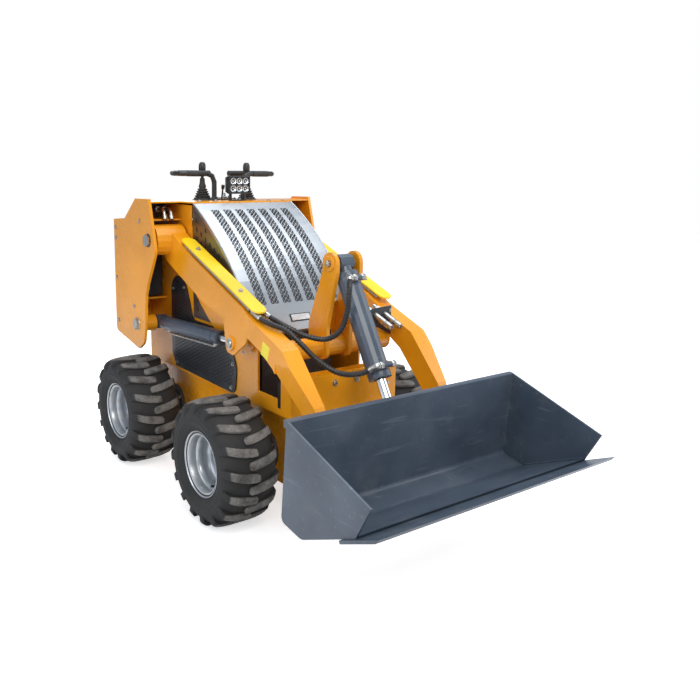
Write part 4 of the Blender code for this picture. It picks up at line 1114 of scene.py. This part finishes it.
def work_lamp():
    """Finned housing, bezel, six cells and a clear front on a small bracket."""
    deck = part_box("work_light")[0][2]
    front, back = 0.532, 0.577
    x, z0, z1 = 0.0515, 1.151, 1.2255
    parts = [block((-x, front + 0.006, z0), (x, back - 0.014, z1), 0.008)]
    for k in range(9):
        at = -0.044 + k * 0.011
        parts.append(block((at - 0.0018, back - 0.018, z0 + 0.006), (at + 0.0018, back, z1 - 0.006), 0.0005))
    item = add("lamp_housing", parts, "plastic", "chassis")
    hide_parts("work_light")
    rim = [block((-x, front, z0), (x, front + 0.008, z0 + 0.006), 0.002),
           block((-x, front, z1 - 0.006), (x, front + 0.008, z1), 0.002),
           block((-x, front, z0), (-x + 0.006, front + 0.008, z1), 0.002),
           block((x - 0.006, front, z0), (x, front + 0.008, z1), 0.002)]
    add("lamp_bezel", rim, "plastic", "chassis")
    cells, bowls = [], []
    for column in range(3):
        for row in range(2):
            cx, cz = -0.030 + column * 0.030, z0 + 0.0215 + row * 0.0315
            turn = Matrix.Translation((cx, front + 0.0065, cz)) @ Matrix.Rotation(math.pi / 2, 4, "X")
            cells.append(lathe([(0.0, -0.003), (0.005, -0.002), (0.0085, 0.0005), (0.0128, 0.0045),
                                (0.0138, 0.0045), (0.0138, -0.004), (0.0, -0.004)], turn, 24))
            bowl = [(0.0, 0.0028), (0.0022, 0.0020), (0.0034, 0.0), (0.0034, -0.003), (0.0, -0.003)]
            bowls.append(lathe(bowl, turn, 16))
    add("lamp_cells", cells, "lamp_cell", "chassis", angle=60.0)
    add("lamp_emitters", bowls, "lamp_dot", "chassis", angle=60.0)
    pane = block((-x + 0.005, front + 0.0070, z0 + 0.005), (x - 0.005, front + 0.0078, z1 - 0.005))
    add("lamp_front", [pane], "lens", "chassis")
    bracket = [block((-0.030, 0.535, deck), (0.030, 0.578, deck + 0.0035), 0.001),
               block((-0.034, 0.548, deck + 0.002), (-0.030, 0.568, deck + 0.042), 0.001),
               block((0.030, 0.548, deck + 0.002), (0.034, 0.568, deck + 0.042), 0.001),
               bar((-0.037, 0.558, deck + 0.035), (0.037, 0.558, deck + 0.035), 0.0040, segments=12)]
    add("lamp_bracket", bracket, "sheet_black", "chassis")


# ---------------------------------------------------------------- arms, cylinders, towers

def arm_dressing():
    """Guard bolts, pin heads, bosses, blank labels and pipes of the arms."""
    sizes = bpy.context.scene.loader_fasteners
    guards = []
    for hand, side in SIDES:
        x = side * ARM_X
        for y in (0.365, 0.048):
            z = 0.778 + y * math.tan(ARM_SLOPE) + (0.020 + 0.006) / math.cos(ARM_SLOPE)
            guards.append(((x, y, z + 0.0005), (0, -math.sin(ARM_SLOPE), math.cos(ARM_SLOPE)), (1, 0, 0)))
        ear = Vector((side * 0.3301, *LIFT_ROD_EYE))
        head = Matrix.Translation(ear) @ Matrix.Rotation(side * math.pi / 2, 4, "Y")
        profile = [(0.0, 0.0050), (0.0120, 0.0050), (0.0142, 0.0040), (0.0150, 0.0), (0.0215, 0.0),
                   (0.0222, -0.0010), (0.0222, -0.0040), (0.0, -0.0040)]
        add(f"{hand}_ear_pin", [lathe(profile, head, 32)], "zinc", "arms")
        label = [(-0.190, 0.664), (-0.148, 0.680), (-0.134, 0.634), (-0.176, 0.618)]
        across = sorted((side * 0.3219, side * 0.3227))
        add(f"{hand}_blank_label", [plate(label, "X", *across)], "yellow_label", "arms")
    bolts("guard_bolts", guards, sizes.panel, FINISHES["zinc"], "arms")
    ears = [((side * 0.0605, TILT_PIN.x, TILT_PIN.y), (side, 0, 0), (0, 1, 0)) for side in (-1, 1)]
    bolts("tilt_pin_heads", ears, sizes.pin, FINISHES["zinc"], "arms")
    for hand, side in SIDES:
        turn = Matrix.Translation((side * 0.0600, *TILT_PIN)) @ Matrix.Rotation(side * math.pi / 2, 4, "Y")
        boss = [(0.014, -0.001), (0.028, -0.001), (0.028, 0.0030), (0.026, 0.0045), (0.014, 0.0045)]
        add(f"{hand}_tilt_ear_boss", [lathe(boss, turn, 32, closed=True)], "frame", "arms")
    hard_pipes()


def hard_pipes():
    """Steel pipes along the arms' tops, under the guards, that feed the hoses."""
    start_y, end_y = 0.440, -0.044
    for hand, side in SIDES:
        parts = []
        for x in (0.274, 0.308):
            points = []
            for k in range(12):
                y = start_y + (end_y - start_y) * k / 11
                z = 0.778 + y * math.tan(ARM_SLOPE) + 0.0085
                if y < 0.0:
                    z = 0.7865 + y * 0.42
                points.append((side * x, y, z))
            parts.append(sweep(points, 0.0060, 12))
        add(f"{hand}_arm_pipes", parts, "zinc", "arms")


def weld(name, lines, finish, body, radius=0.0032):
    """Rippled weld beads along straight lines."""
    parts = []
    for a, b in lines:
        a, b = Vector(a), Vector(b)
        count = max(4, round((b - a).length / 0.0045))
        path = [a.lerp(b, i / count) for i in range(count + 1)]
        radii = [radius * (1.0 if i % 2 else 0.78) for i in range(count + 1)]
        parts.append(sweep(path, radii, 8))
    return add(name, parts, finish, body, angle=70.0)


def welds():
    lines = []
    for side in (-1, 1):
        lines += [((side * 0.4885, -0.8600, 0.3160), (side * 0.4885, -0.6300, 0.2185)),
                  ((side * 0.4885, -0.5315, 0.2600), (side * 0.4885, -0.5510, 0.5200))]
    weld("bucket_welds", lines, "slate", "bucket")
    rings = []
    tube_y, tube_z = CROSS_TUBE
    weld_ring, count = 0.0385, 24
    for side in (-1, 1):
        corners = []
        for k in range(count + 1):
            angle = 2 * math.pi * k / count
            corners.append((side * 0.2535, tube_y + weld_ring * math.cos(angle),
                            tube_z + weld_ring * math.sin(angle)))
        rings += list(zip(corners, corners[1:]))
    weld("cross_tube_welds", rings, "frame", "arms", 0.0028)


def bucket_dressing():
    """Bolts through the cutting edge, and the heads of the tilt rod's pin."""
    floor = Vector((-0.240, 0.102)).normalized()
    up = Vector((0.102, 0.240)).normalized()
    end = Vector((-0.864, 0.308))
    places = []
    for k in range(9):
        x = -0.440 + k * 0.110
        spot = end - floor * 0.030 - up * 0.0100
        places.append(((x, spot.x, spot.y), (0, -up.x, -up.y), (1, 0, 0)))
    bolts("edge_bolts", places, 0.017, FINISHES["zinc"], "bucket")
    lugs = []
    for side in (-1, 1):
        lugs.append(((side * 0.0525, *TILT_ROD_EYE), (side, 0, 0), (0, 1, 0)))
    bolts("tilt_eye_heads", lugs, 0.019, FINISHES["zinc"], "bucket")


def cylinder_dressing():
    for hand, side in SIDES:
        x = side * LIFT_CYLINDER_X
        start, end = Vector(CYLINDER_FOOT), Vector(LIFT_ROD_EYE)
        axis = (end - start).normalized()
        up = Vector((axis.y, -axis.x))

        def at(distance, lift=0.0):
            spot = start + axis * distance + up * lift
            return (x, spot.x, spot.y)
        collars = [bar(at(0.484), at(0.4855), 0.0287, segments=32),
                   bar(at(0.498), at(0.5275), 0.0287, 0.0280, 32, bevel=0.0012),
                   bar(at(0.062), at(0.074), 0.0288, segments=32, bevel=0.001)]
        add(f"{hand}_lift_collars", collars, "slate", f"{hand}_lift_barrel")
        wiper = [bar(at(0.5250), at(0.5310), 0.0205, 0.0185, 28)]
        add(f"{hand}_lift_wiper", wiper, "plastic", f"{hand}_lift_barrel")
        pipe = [at(0.085, -0.0270), at(0.085, -0.0360), at(0.095, -0.0400), at(0.30, -0.0400),
                at(0.47, -0.0400), at(0.482, -0.0360), at(0.482, -0.0260)]
        parts = [sweep(smooth_path(pipe, 0.012), 0.0048, 10)]
        parts += [bar(at(far, -0.024), at(far, -0.034), 0.0085, segments=6, bevel=0.0008)
                  for far in (0.085, 0.482)]
        add(f"{hand}_lift_pipe", parts, "zinc", f"{hand}_lift_barrel")
    tilt_cylinder_dressing()


def tilt_cylinder_dressing():
    axis = (TILT_ROD_EYE - TILT_PIN).normalized()
    front = Vector((axis.y, -axis.x))

    def at(distance, out=0.0, x=0.0):
        spot = TILT_PIN + axis * distance + front * out
        return (x, spot.x, spot.y)
    add("tilt_collars", [bar(at(0.398), at(0.4345), 0.0410, segments=36, bevel=0.0015),
                         bar(at(0.048), at(0.060), 0.0408, segments=36, bevel=0.0012),
                         bar(at(0.386), at(0.3875), 0.0408, segments=36)],
        "slate", "tilt_barrel")
    wiper = bar(at(0.430), at(0.4380), 0.0235, 0.0210, 28)
    add("tilt_wiper", [wiper], "plastic", "tilt_barrel")
    fittings = []
    for port, half in ((0.080, 0.022), (0.400, 0.030)):
        near = (at(port, PORT_OUT, -half - 0.001), at(port, PORT_OUT, -half + 0.012))
        far = (at(port, PORT_OUT, half - 0.012), at(port, PORT_OUT, half + 0.006))
        fittings += [bar(at(port, 0.036), at(port, 0.050), 0.0125, segments=6, bevel=0.001),
                     bar(*near, 0.0128, segments=6, bevel=0.001),
                     bar(*far, 0.0122, segments=6, bevel=0.001)]
    add("tilt_port_nuts", fittings, "zinc", "tilt_barrel")


def couplers():
    """Two quick couplers with knurled sleeves, and bolts on their bent carrier plate."""
    for name in ("inner_coupler", "outer_coupler"):
        low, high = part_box(name)
        x = (low[0] + high[0]) / 2
        a = Vector((x, -0.085, 0.742))
        b = Vector((x, -0.240, 0.742 - 0.155 * 0.36))
        turn = (b - a).to_track_quat("Z", "Y").to_matrix().to_4x4()
        place = Matrix.Translation(a) @ turn
        profile = [(0.0, 0.0), (0.0075, 0.0), (0.0085, 0.001), (0.0085, 0.030), (0.0120, 0.031),
                   (0.0120, 0.052), (0.0098, 0.054), (0.0098, 0.060), (0.0124, 0.062), (0.0124, 0.090)]
        profile += [(0.0124 - 0.0007 * (k % 2), 0.091 + 0.0022 * k) for k in range(12)]
        profile += [(0.0124, 0.120), (0.0112, 0.123), (0.0112, 0.130), (0.0122, 0.132), (0.0122, 0.158),
                    (0.0105, 0.1635), (0.0070, 0.1635), (0.0070, 0.156), (0.0, 0.156)]
        item = add(f"{name}_turned", [lathe(profile, place, 32)], "zinc", "arms", angle=40.0)
        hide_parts(name)
        nut = bar(a.lerp(b, 0.14), a.lerp(b, 0.27), 0.0132, segments=6, bevel=0.001)
        add(f"{name}_nut", [nut], "zinc", "arms")
    places = [((0.249, -0.1531, z), (0, -1, 0), (1, 0, 0)) for z in (0.665, 0.732)]
    bolts("coupler_bracket_bolts", places, 0.009, FINISHES["zinc"], "arms")


def towers():
    """Valve plate and fittings in each tower, pipes at its top opening, screws and washers."""
    for hand, side in SIDES:
        def across(a, b):
            return sorted((side * a, side * b))
        x0, x1 = across(0.262, 0.384)
        add(f"{hand}_valve_plate", [block((x0, 0.752, 0.712), (x1, 0.758, 0.940), 0.001)], "sheet_black",
            "chassis")
        parts = []
        for x, z in ((0.350, 0.870), (0.345, 0.815), (0.352, 0.755)):
            parts += [bar((side * x, 0.754, z), (side * x, 0.740, z), 0.0130, segments=6, bevel=0.001),
                      bar((side * x, 0.742, z), (side * x, 0.716, z), 0.0085, segments=16),
                      bar((side * x, 0.722, z), (side * x, 0.700, z), 0.0105, segments=6, bevel=0.001)]
        add(f"{hand}_valve_fittings", parts, "zinc", "chassis")
        elbows, lines = [], []
        for x in (0.292, 0.322):
            top = [(side * x, 0.690, 1.088), (side * x, 0.640, 1.088), (side * x, 0.612, 1.087),
                   (side * x, 0.598, 1.078), (side * x, 0.592, 1.062)]
            nut = ((side * x, 0.650, 1.088), (side * x, 0.668, 1.088))
            sleeve = ((side * x, 0.594, 1.066), (side * x, 0.588, 1.048))
            elbows += [sweep(smooth_path(top, 0.006), 0.0080, 14), bar(*nut, 0.0120, segments=6, bevel=0.001)]
            lines.append(bar(*sleeve, 0.0108, segments=14, bevel=0.001))
        add(f"{hand}_top_elbows", elbows + lines, "zinc", "chassis")
        add(f"{hand}_top_backing", [block((x0, 0.700, 1.052), (x1, 0.706, 1.108), 0.001)], "sheet_black",
            "chassis")
        screws = [((side * 0.4001, y, z), (side, 0, 0), (0, 1, 0)) for y, z in
                  ((0.664, 1.040), (0.915, 1.000), (0.915, 0.780), (0.905, 0.590), (0.735, 0.675),
                   (0.912, 0.955))]
        bolts(f"{hand}_tower_screws", screws, 0.0115, FINISHES["zinc"], "chassis")
        for label, spot in (("pivot", ARM_PIVOT), ("cylinder", CYLINDER_FOOT)):
            turn = Matrix.Translation((side * 0.4000, *spot)) @ Matrix.Rotation(side * math.pi / 2, 4, "Y")
            washer = [(0.018, 0.0), (0.0275, 0.0), (0.0275, 0.0022), (0.0262, 0.0034), (0.018, 0.0034)]
            add(f"{hand}_{label}_washer", [lathe(washer, turn, 36, closed=True)],
                "sheet_black" if label == "pivot" else "zinc", "chassis")
        roller = Matrix.Translation((side * 0.3535, *REAR_ROLLER))
        roller = roller @ Matrix.Rotation(-side * math.pi / 2, 4, "Y")
        cap = [(0.0, 0.0), (0.016, 0.0), (0.018, 0.0015), (0.018, 0.0030), (0.0, 0.0040)]
        add(f"{hand}_roller_cap", [lathe(cap, roller, 28)], "zinc", "chassis")


def frame_dressing():
    """Bolts of the front plate, back panel, sides and axles, and the back's vents."""
    sizes = bpy.context.scene.loader_fasteners
    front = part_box("front_plate")[0][1]
    places = [((side * x, front - 0.0001, z), (0, -1, 0), (1, 0, 0)) for side in (-1, 1)
              for x, z in ((0.150, 0.505), (0.050, 0.505), (0.195, 0.240), (0.195, 0.470))]
    bolts("front_plate_bolts", places, sizes.plate, FINISHES["zinc"], "chassis")
    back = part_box("rear_panel")[1][1]
    vents = []
    for k in range(8):
        z = 0.640 + k * 0.022
        vents.append(block((-0.120, back - 0.0004, z), (0.120, back + 0.0012, z + 0.010), 0.0004))
    add("rear_vents", vents, "dark", "chassis")
    places = [((side * x, back, z), (0, 1, 0), (1, 0, 0)) for side in (-1, 1)
              for x, z in ((0.360, 0.575), (0.360, 0.785), (0.360, 0.990), (0.120, 0.990), (0.120, 0.575))]
    bolts("rear_panel_bolts", places, sizes.panel, FINISHES["zinc"], "chassis")
    for hand, side in SIDES:
        x = side * 0.2421
        across = sorted((x, x + side * 0.0006))
        add(f"{hand}_side_slot", [block((across[0], -0.140, 0.425), (across[1], -0.122, 0.520), 0.0002)],
            "dark", "chassis")
        places = [((side * 0.2422, y, z), (side, 0, 0), (0, 1, 0))
                  for y, z in ((0.060, 0.600), (0.105, 0.585))]
        bolts(f"{hand}_side_bolts", places, 0.014, FINISHES["zinc"], "chassis")
        for end, y in AXLES:
            spots = []
            count, ring = 6, 0.062
            for k in range(count):
                angle = 2 * math.pi * (k + 0.5) / count
                spot = (side * 0.2193, y + ring * math.cos(angle), AXLE_HEIGHT + ring * math.sin(angle))
                spots.append((spot, (side, 0, 0), (0, 1, 0)))
            bolts(f"{end}_{hand}_axle_bolts", spots, 0.011, FINISHES["zinc"], "chassis")


# ---------------------------------------------------------------- finishes

NODE_FINISH = {
    "frame": ("main_frame", "front_plate", "console_deck", "rear_panel", "right_tower", "left_tower",
              "right_arm", "left_arm", "cross_tube", "tilt_bracket"),
    "guard": ("right_hose_guard", "left_hose_guard"),
    "slate": ("bucket", "bucket_mount", "cutting_edge", "tilt_cylinder_barrel", "right_lift_cylinder_barrel",
              "left_lift_cylinder_barrel"),
    "stainless": ("hood",),
    "chrome": ("tilt_cylinder_rod", "right_lift_cylinder_rod", "left_lift_cylinder_rod"),
    "zinc": ("tilt_pin", "right_pivot_pin", "left_pivot_pin", "right_cylinder_pin", "left_cylinder_pin"),
    "sheet_black": ("right_side_grille", "left_side_grille", "right_front_hook", "left_front_hook",
                    "coupler_bracket"),
    "plastic": ("right_hand_loop", "left_hand_loop"),
    "rubber": ("right_rear_roller", "left_rear_roller"),
    "iron": ("engine", "front_right_axle", "front_left_axle", "rear_right_axle", "rear_left_axle"),
}


def paint_nodes():
    paints = bpy.context.scene.loader_paints
    FINISHES.update({
        "frame": powder_paint("orange_powder_paint", tuple(paints.frame)),
        "guard": powder_paint("yellow_powder_paint", tuple(paints.guard), 0.1),
        "slate": slate_paint("slate_paint", tuple(paints.slate), paints.dust),
        "stainless": brushed_steel("brushed_stainless", (0.47, 0.49, 0.51), 0.33, depth=0.02),
        # painted shade: the hood's side sheets are the top's stainless made darker
        "shaded_steel": brushed_steel("shaded_stainless", (0.22, 0.235, 0.25), 0.34, (1.0, 0.05, 1.0)),
        "chrome": hard_chrome("hard_chrome"),
        "zinc": plated_steel("zinc_plate"),
        "sheet_black": black_sheet("satin_black_sheet"),
        "plastic": black_moulding("grained_black_plastic"),
        "rubber": black_moulding("black_rubber", (0.014, 0.014, 0.014), 0.62, 320.0),
        "hose": black_moulding("hose_rubber", (0.010, 0.010, 0.010), 0.50, 500.0),
        "hose_guard": black_moulding("spiral_guard", (0.020, 0.020, 0.021), 0.36, 500.0),
        "iron": casting("dark_casting"),
        "dark": plain_paint("hole_shadow", (0.006, 0.006, 0.007), 0.7),
        "white_plate": plain_paint("blank_plate", (0.66, 0.67, 0.68), 0.3, 0.3),
        "yellow_label": plain_paint("blank_label", (0.85, 0.70, 0.04), 0.35),
        "lamp_cell": plain_paint("lamp_reflector", (0.80, 0.82, 0.84), 0.12, 1.0),
        "lamp_dot": plain_paint("lamp_emitter", (0.85, 0.83, 0.62), 0.3),
        "lens": lamp_lens("lamp_front"),
    })
    for finish, names in NODE_FINISH.items():
        for name in names:
            node = NODES[name]
            for slot in node.material_slots:
                slot.material = FINISHES[finish]


# ---------------------------------------------------------------- stage

CAMERA_PLACE = (-1.712, -2.304, 1.257)
CAMERA_TURN = (-35.76, 10.02, 0.63)    # heading from +Y, look down, roll, in degrees
CAMERA_LENS = 39.76                    # mm, on a 36 mm sensor
CAMERA_SHIFT = (0.0683, -0.0633)


def studio():
    scene = bpy.context.scene
    heading, down, roll = (math.radians(value) for value in CAMERA_TURN)
    lens = bpy.data.cameras.new("camera")
    lens.sensor_width = 36.0
    lens.lens = CAMERA_LENS
    lens.shift_x, lens.shift_y = CAMERA_SHIFT
    lens.clip_start = 0.05
    camera = bpy.data.objects.new("camera", lens)
    turn = Matrix.Rotation(heading, 4, "Z") @ Matrix.Rotation(math.pi / 2 - down, 4, "X")
    camera.matrix_world = Matrix.Translation(CAMERA_PLACE) @ turn @ Matrix.Rotation(roll, 4, "Z")
    scene.collection.objects.link(camera)
    scene.camera = camera
    scene.view_settings.view_transform = "Standard"
    world = bpy.data.worlds.new("studio")
    scene.world = world
    world.use_nodes = True
    tree = world.node_tree
    ground = tree.nodes["Background"]
    ground.inputs["Color"].default_value = (0.80, 0.88, 1.0, 1.0)
    ground.inputs["Strength"].default_value = 0.55
    white = tree.nodes.new("ShaderNodeBackground")
    white.inputs["Color"].default_value = (1.0, 1.0, 1.0, 1.0)
    ray = tree.nodes.new("ShaderNodeLightPath")
    mix = tree.nodes.new("ShaderNodeMixShader")
    tree.links.new(ray.outputs["Is Camera Ray"], mix.inputs[0])
    tree.links.new(ground.outputs[0], mix.inputs[1])
    tree.links.new(white.outputs[0], mix.inputs[2])
    tree.links.new(mix.outputs[0], tree.nodes["World Output"].inputs[0])
    for name, place, size, power, tint in (
            ("key", (-1.2, -3.2, 3.4), 2.2, 118.0, (1.0, 0.97, 0.92)),
            ("top", (0.6, 0.3, 3.8), 2.6, 70.0, (0.92, 0.96, 1.0)),
            ("left_fill", (-3.6, 0.2, 1.6), 2.4, 34.0, (0.95, 0.97, 1.0)),
            ("right_fill", (3.2, -1.6, 1.8), 2.6, 40.0, (1.0, 0.98, 0.95)),
            ("back", (0.5, 3.6, 2.4), 2.4, 46.0, (1.0, 1.0, 1.0))):
        light = bpy.data.lights.new(name, "AREA")
        light.size = size
        light.energy = power
        light.color = tint
        item = bpy.data.objects.new(name, light)
        item.location = place
        item.rotation_euler = (Vector((0, 0, 0.5)) - Vector(place)).to_track_quat("-Z", "Y").to_euler()
        scene.collection.objects.link(item)
    floor_and_backdrop()


def floor_and_backdrop():
    """A white floor that keeps the shadow, and shows white beyond it."""
    build = bmesh.new()
    bmesh.ops.create_grid(build, x_segments=2, y_segments=2, size=14.0)
    mesh = bpy.data.meshes.new("floor")
    build.to_mesh(mesh)
    build.free()
    floor = bpy.data.objects.new("floor", mesh)
    bpy.context.scene.collection.objects.link(floor)
    finish = bpy.data.materials.new("white_floor")
    finish.use_nodes = True
    tree = finish.node_tree
    shader = tree.nodes["Principled BSDF"]
    shader.inputs["Base Color"].default_value = (0.86, 0.86, 0.86, 1.0)
    shader.inputs["Roughness"].default_value = 0.9
    shader.inputs["Specular IOR Level"].default_value = 0.1
    glow = tree.nodes.new("ShaderNodeEmission")
    glow.inputs["Color"].default_value = (1.0, 1.0, 1.0, 1.0)
    glow.inputs["Strength"].default_value = 0.62
    both = tree.nodes.new("ShaderNodeAddShader")
    ray = tree.nodes.new("ShaderNodeLightPath")
    mix = tree.nodes.new("ShaderNodeMixShader")
    tree.links.new(shader.outputs[0], both.inputs[0])
    tree.links.new(glow.outputs[0], both.inputs[1])
    tree.links.new(ray.outputs["Is Camera Ray"], mix.inputs[0])
    tree.links.new(shader.outputs[0], mix.inputs[1])
    tree.links.new(both.outputs[0], mix.inputs[2])
    tree.links.new(mix.outputs[0], tree.nodes["Material Output"].inputs[0])
    mesh.materials.append(finish)


# ---------------------------------------------------------------- operators and panel

def prepare_trees():
    """Make the two trees that repeats are made with."""
    TREES["ring"] = ring_of_shapes()
    TREES["spots"] = shapes_on_points()


class LOADER_OT_studio(bpy.types.Operator):
    """Add the camera, lights, floor and backdrop"""

    bl_idname = "loader.studio"
    bl_label = "Studio"

    def execute(self, context):
        studio()
        return {"FINISHED"}


class LOADER_OT_finishes(bpy.types.Operator):
    """Make the materials and put them on the frame's nodes"""

    bl_idname = "loader.finishes"
    bl_label = "Finishes"

    def execute(self, context):
        paint_nodes()
        prepare_trees()
        return {"FINISHED"}


class LOADER_OT_hoses(bpy.types.Operator):
    """Add the tilt cylinder's two hoses"""

    bl_idname = "loader.hoses"
    bl_label = "Hoses"

    def execute(self, context):
        hoses()
        return {"FINISHED"}


class LOADER_OT_wheels(bpy.types.Operator):
    """Add the lugged tyres and pressed wheels"""

    bl_idname = "loader.wheels"
    bl_label = "Wheels"

    def execute(self, context):
        wheels()
        return {"FINISHED"}


class LOADER_OT_hood(bpy.types.Operator):
    """Add the hood's perforations, sides and plate"""

    bl_idname = "loader.hood"
    bl_label = "Hood"

    def execute(self, context):
        hood()
        return {"FINISHED"}


class LOADER_OT_grilles(bpy.types.Operator):
    """Add the holes and screws of the side grilles"""

    bl_idname = "loader.grilles"
    bl_label = "Side grilles"

    def execute(self, context):
        grilles()
        return {"FINISHED"}


class LOADER_OT_controls(bpy.types.Operator):
    """Add sticks, boots, loop sleeves and the dash"""

    bl_idname = "loader.controls"
    bl_label = "Controls"

    def execute(self, context):
        controls()
        return {"FINISHED"}


class LOADER_OT_lamp(bpy.types.Operator):
    """Add the work lamp"""

    bl_idname = "loader.lamp"
    bl_label = "Work lamp"

    def execute(self, context):
        work_lamp()
        return {"FINISHED"}


class LOADER_OT_arms(bpy.types.Operator):
    """Add pins, pipes, labels, welds and couplers on the arms"""

    bl_idname = "loader.arms"
    bl_label = "Arms"

    def execute(self, context):
        arm_dressing()
        welds()
        couplers()
        return {"FINISHED"}


class LOADER_OT_cylinders(bpy.types.Operator):
    """Add collars, pipes and fittings on the cylinders"""

    bl_idname = "loader.cylinders"
    bl_label = "Cylinders"

    def execute(self, context):
        cylinder_dressing()
        return {"FINISHED"}


class LOADER_OT_bucket(bpy.types.Operator):
    """Add the bucket's bolts"""

    bl_idname = "loader.bucket"
    bl_label = "Bucket"

    def execute(self, context):
        bucket_dressing()
        return {"FINISHED"}


class LOADER_OT_towers(bpy.types.Operator):
    """Add fittings and screws of towers and frame"""

    bl_idname = "loader.towers"
    bl_label = "Towers and frame"

    def execute(self, context):
        towers()
        frame_dressing()
        return {"FINISHED"}


OPERATORS = (LOADER_OT_studio, LOADER_OT_finishes, LOADER_OT_hoses, LOADER_OT_wheels,
             LOADER_OT_hood, LOADER_OT_grilles, LOADER_OT_controls, LOADER_OT_lamp,
             LOADER_OT_arms, LOADER_OT_cylinders, LOADER_OT_bucket, LOADER_OT_towers)


class LOADER_PT_panel(bpy.types.Panel):
    """Lists the loader's steps and sizes."""

    bl_label = "Loader"
    bl_idname = "LOADER_PT_panel"
    bl_space_type = "VIEW_3D"
    bl_region_type = "UI"
    bl_category = "Loader"

    def draw(self, context):
        for group in GROUPS:
            settings = getattr(context.scene, group)
            for name in settings.bl_rna.properties.keys():
                if name not in ("rna_type", "name"):
                    self.layout.prop(settings, name)
        for operator in OPERATORS:
            self.layout.operator(operator.bl_idname)


GROUPS = {"loader_paints": LoaderPaints, "loader_tyres": LoaderTyres, "loader_hood": LoaderHood,
          "loader_hoses": LoaderHoses, "loader_fasteners": LoaderFasteners}


def register():
    for name, group in GROUPS.items():
        bpy.utils.register_class(group)
        setattr(bpy.types.Scene, name, PointerProperty(type=group))
    for operator in OPERATORS:
        bpy.utils.register_class(operator)
    bpy.utils.register_class(LOADER_PT_panel)


def unregister():
    bpy.utils.unregister_class(LOADER_PT_panel)
    for operator in reversed(OPERATORS):
        bpy.utils.unregister_class(operator)
    for name, group in GROUPS.items():
        delattr(bpy.types.Scene, name)
        bpy.utils.unregister_class(group)


def main():
    register()
    bpy.ops.loader.studio()
    bpy.ops.loader.finishes()
    bpy.ops.loader.hoses()
    bpy.ops.loader.wheels()
    bpy.ops.loader.hood()
    bpy.ops.loader.grilles()
    bpy.ops.loader.controls()
    bpy.ops.loader.lamp()
    bpy.ops.loader.arms()
    bpy.ops.loader.cylinders()
    bpy.ops.loader.bucket()
    bpy.ops.loader.towers()


if __name__ == "__main__":
    main()
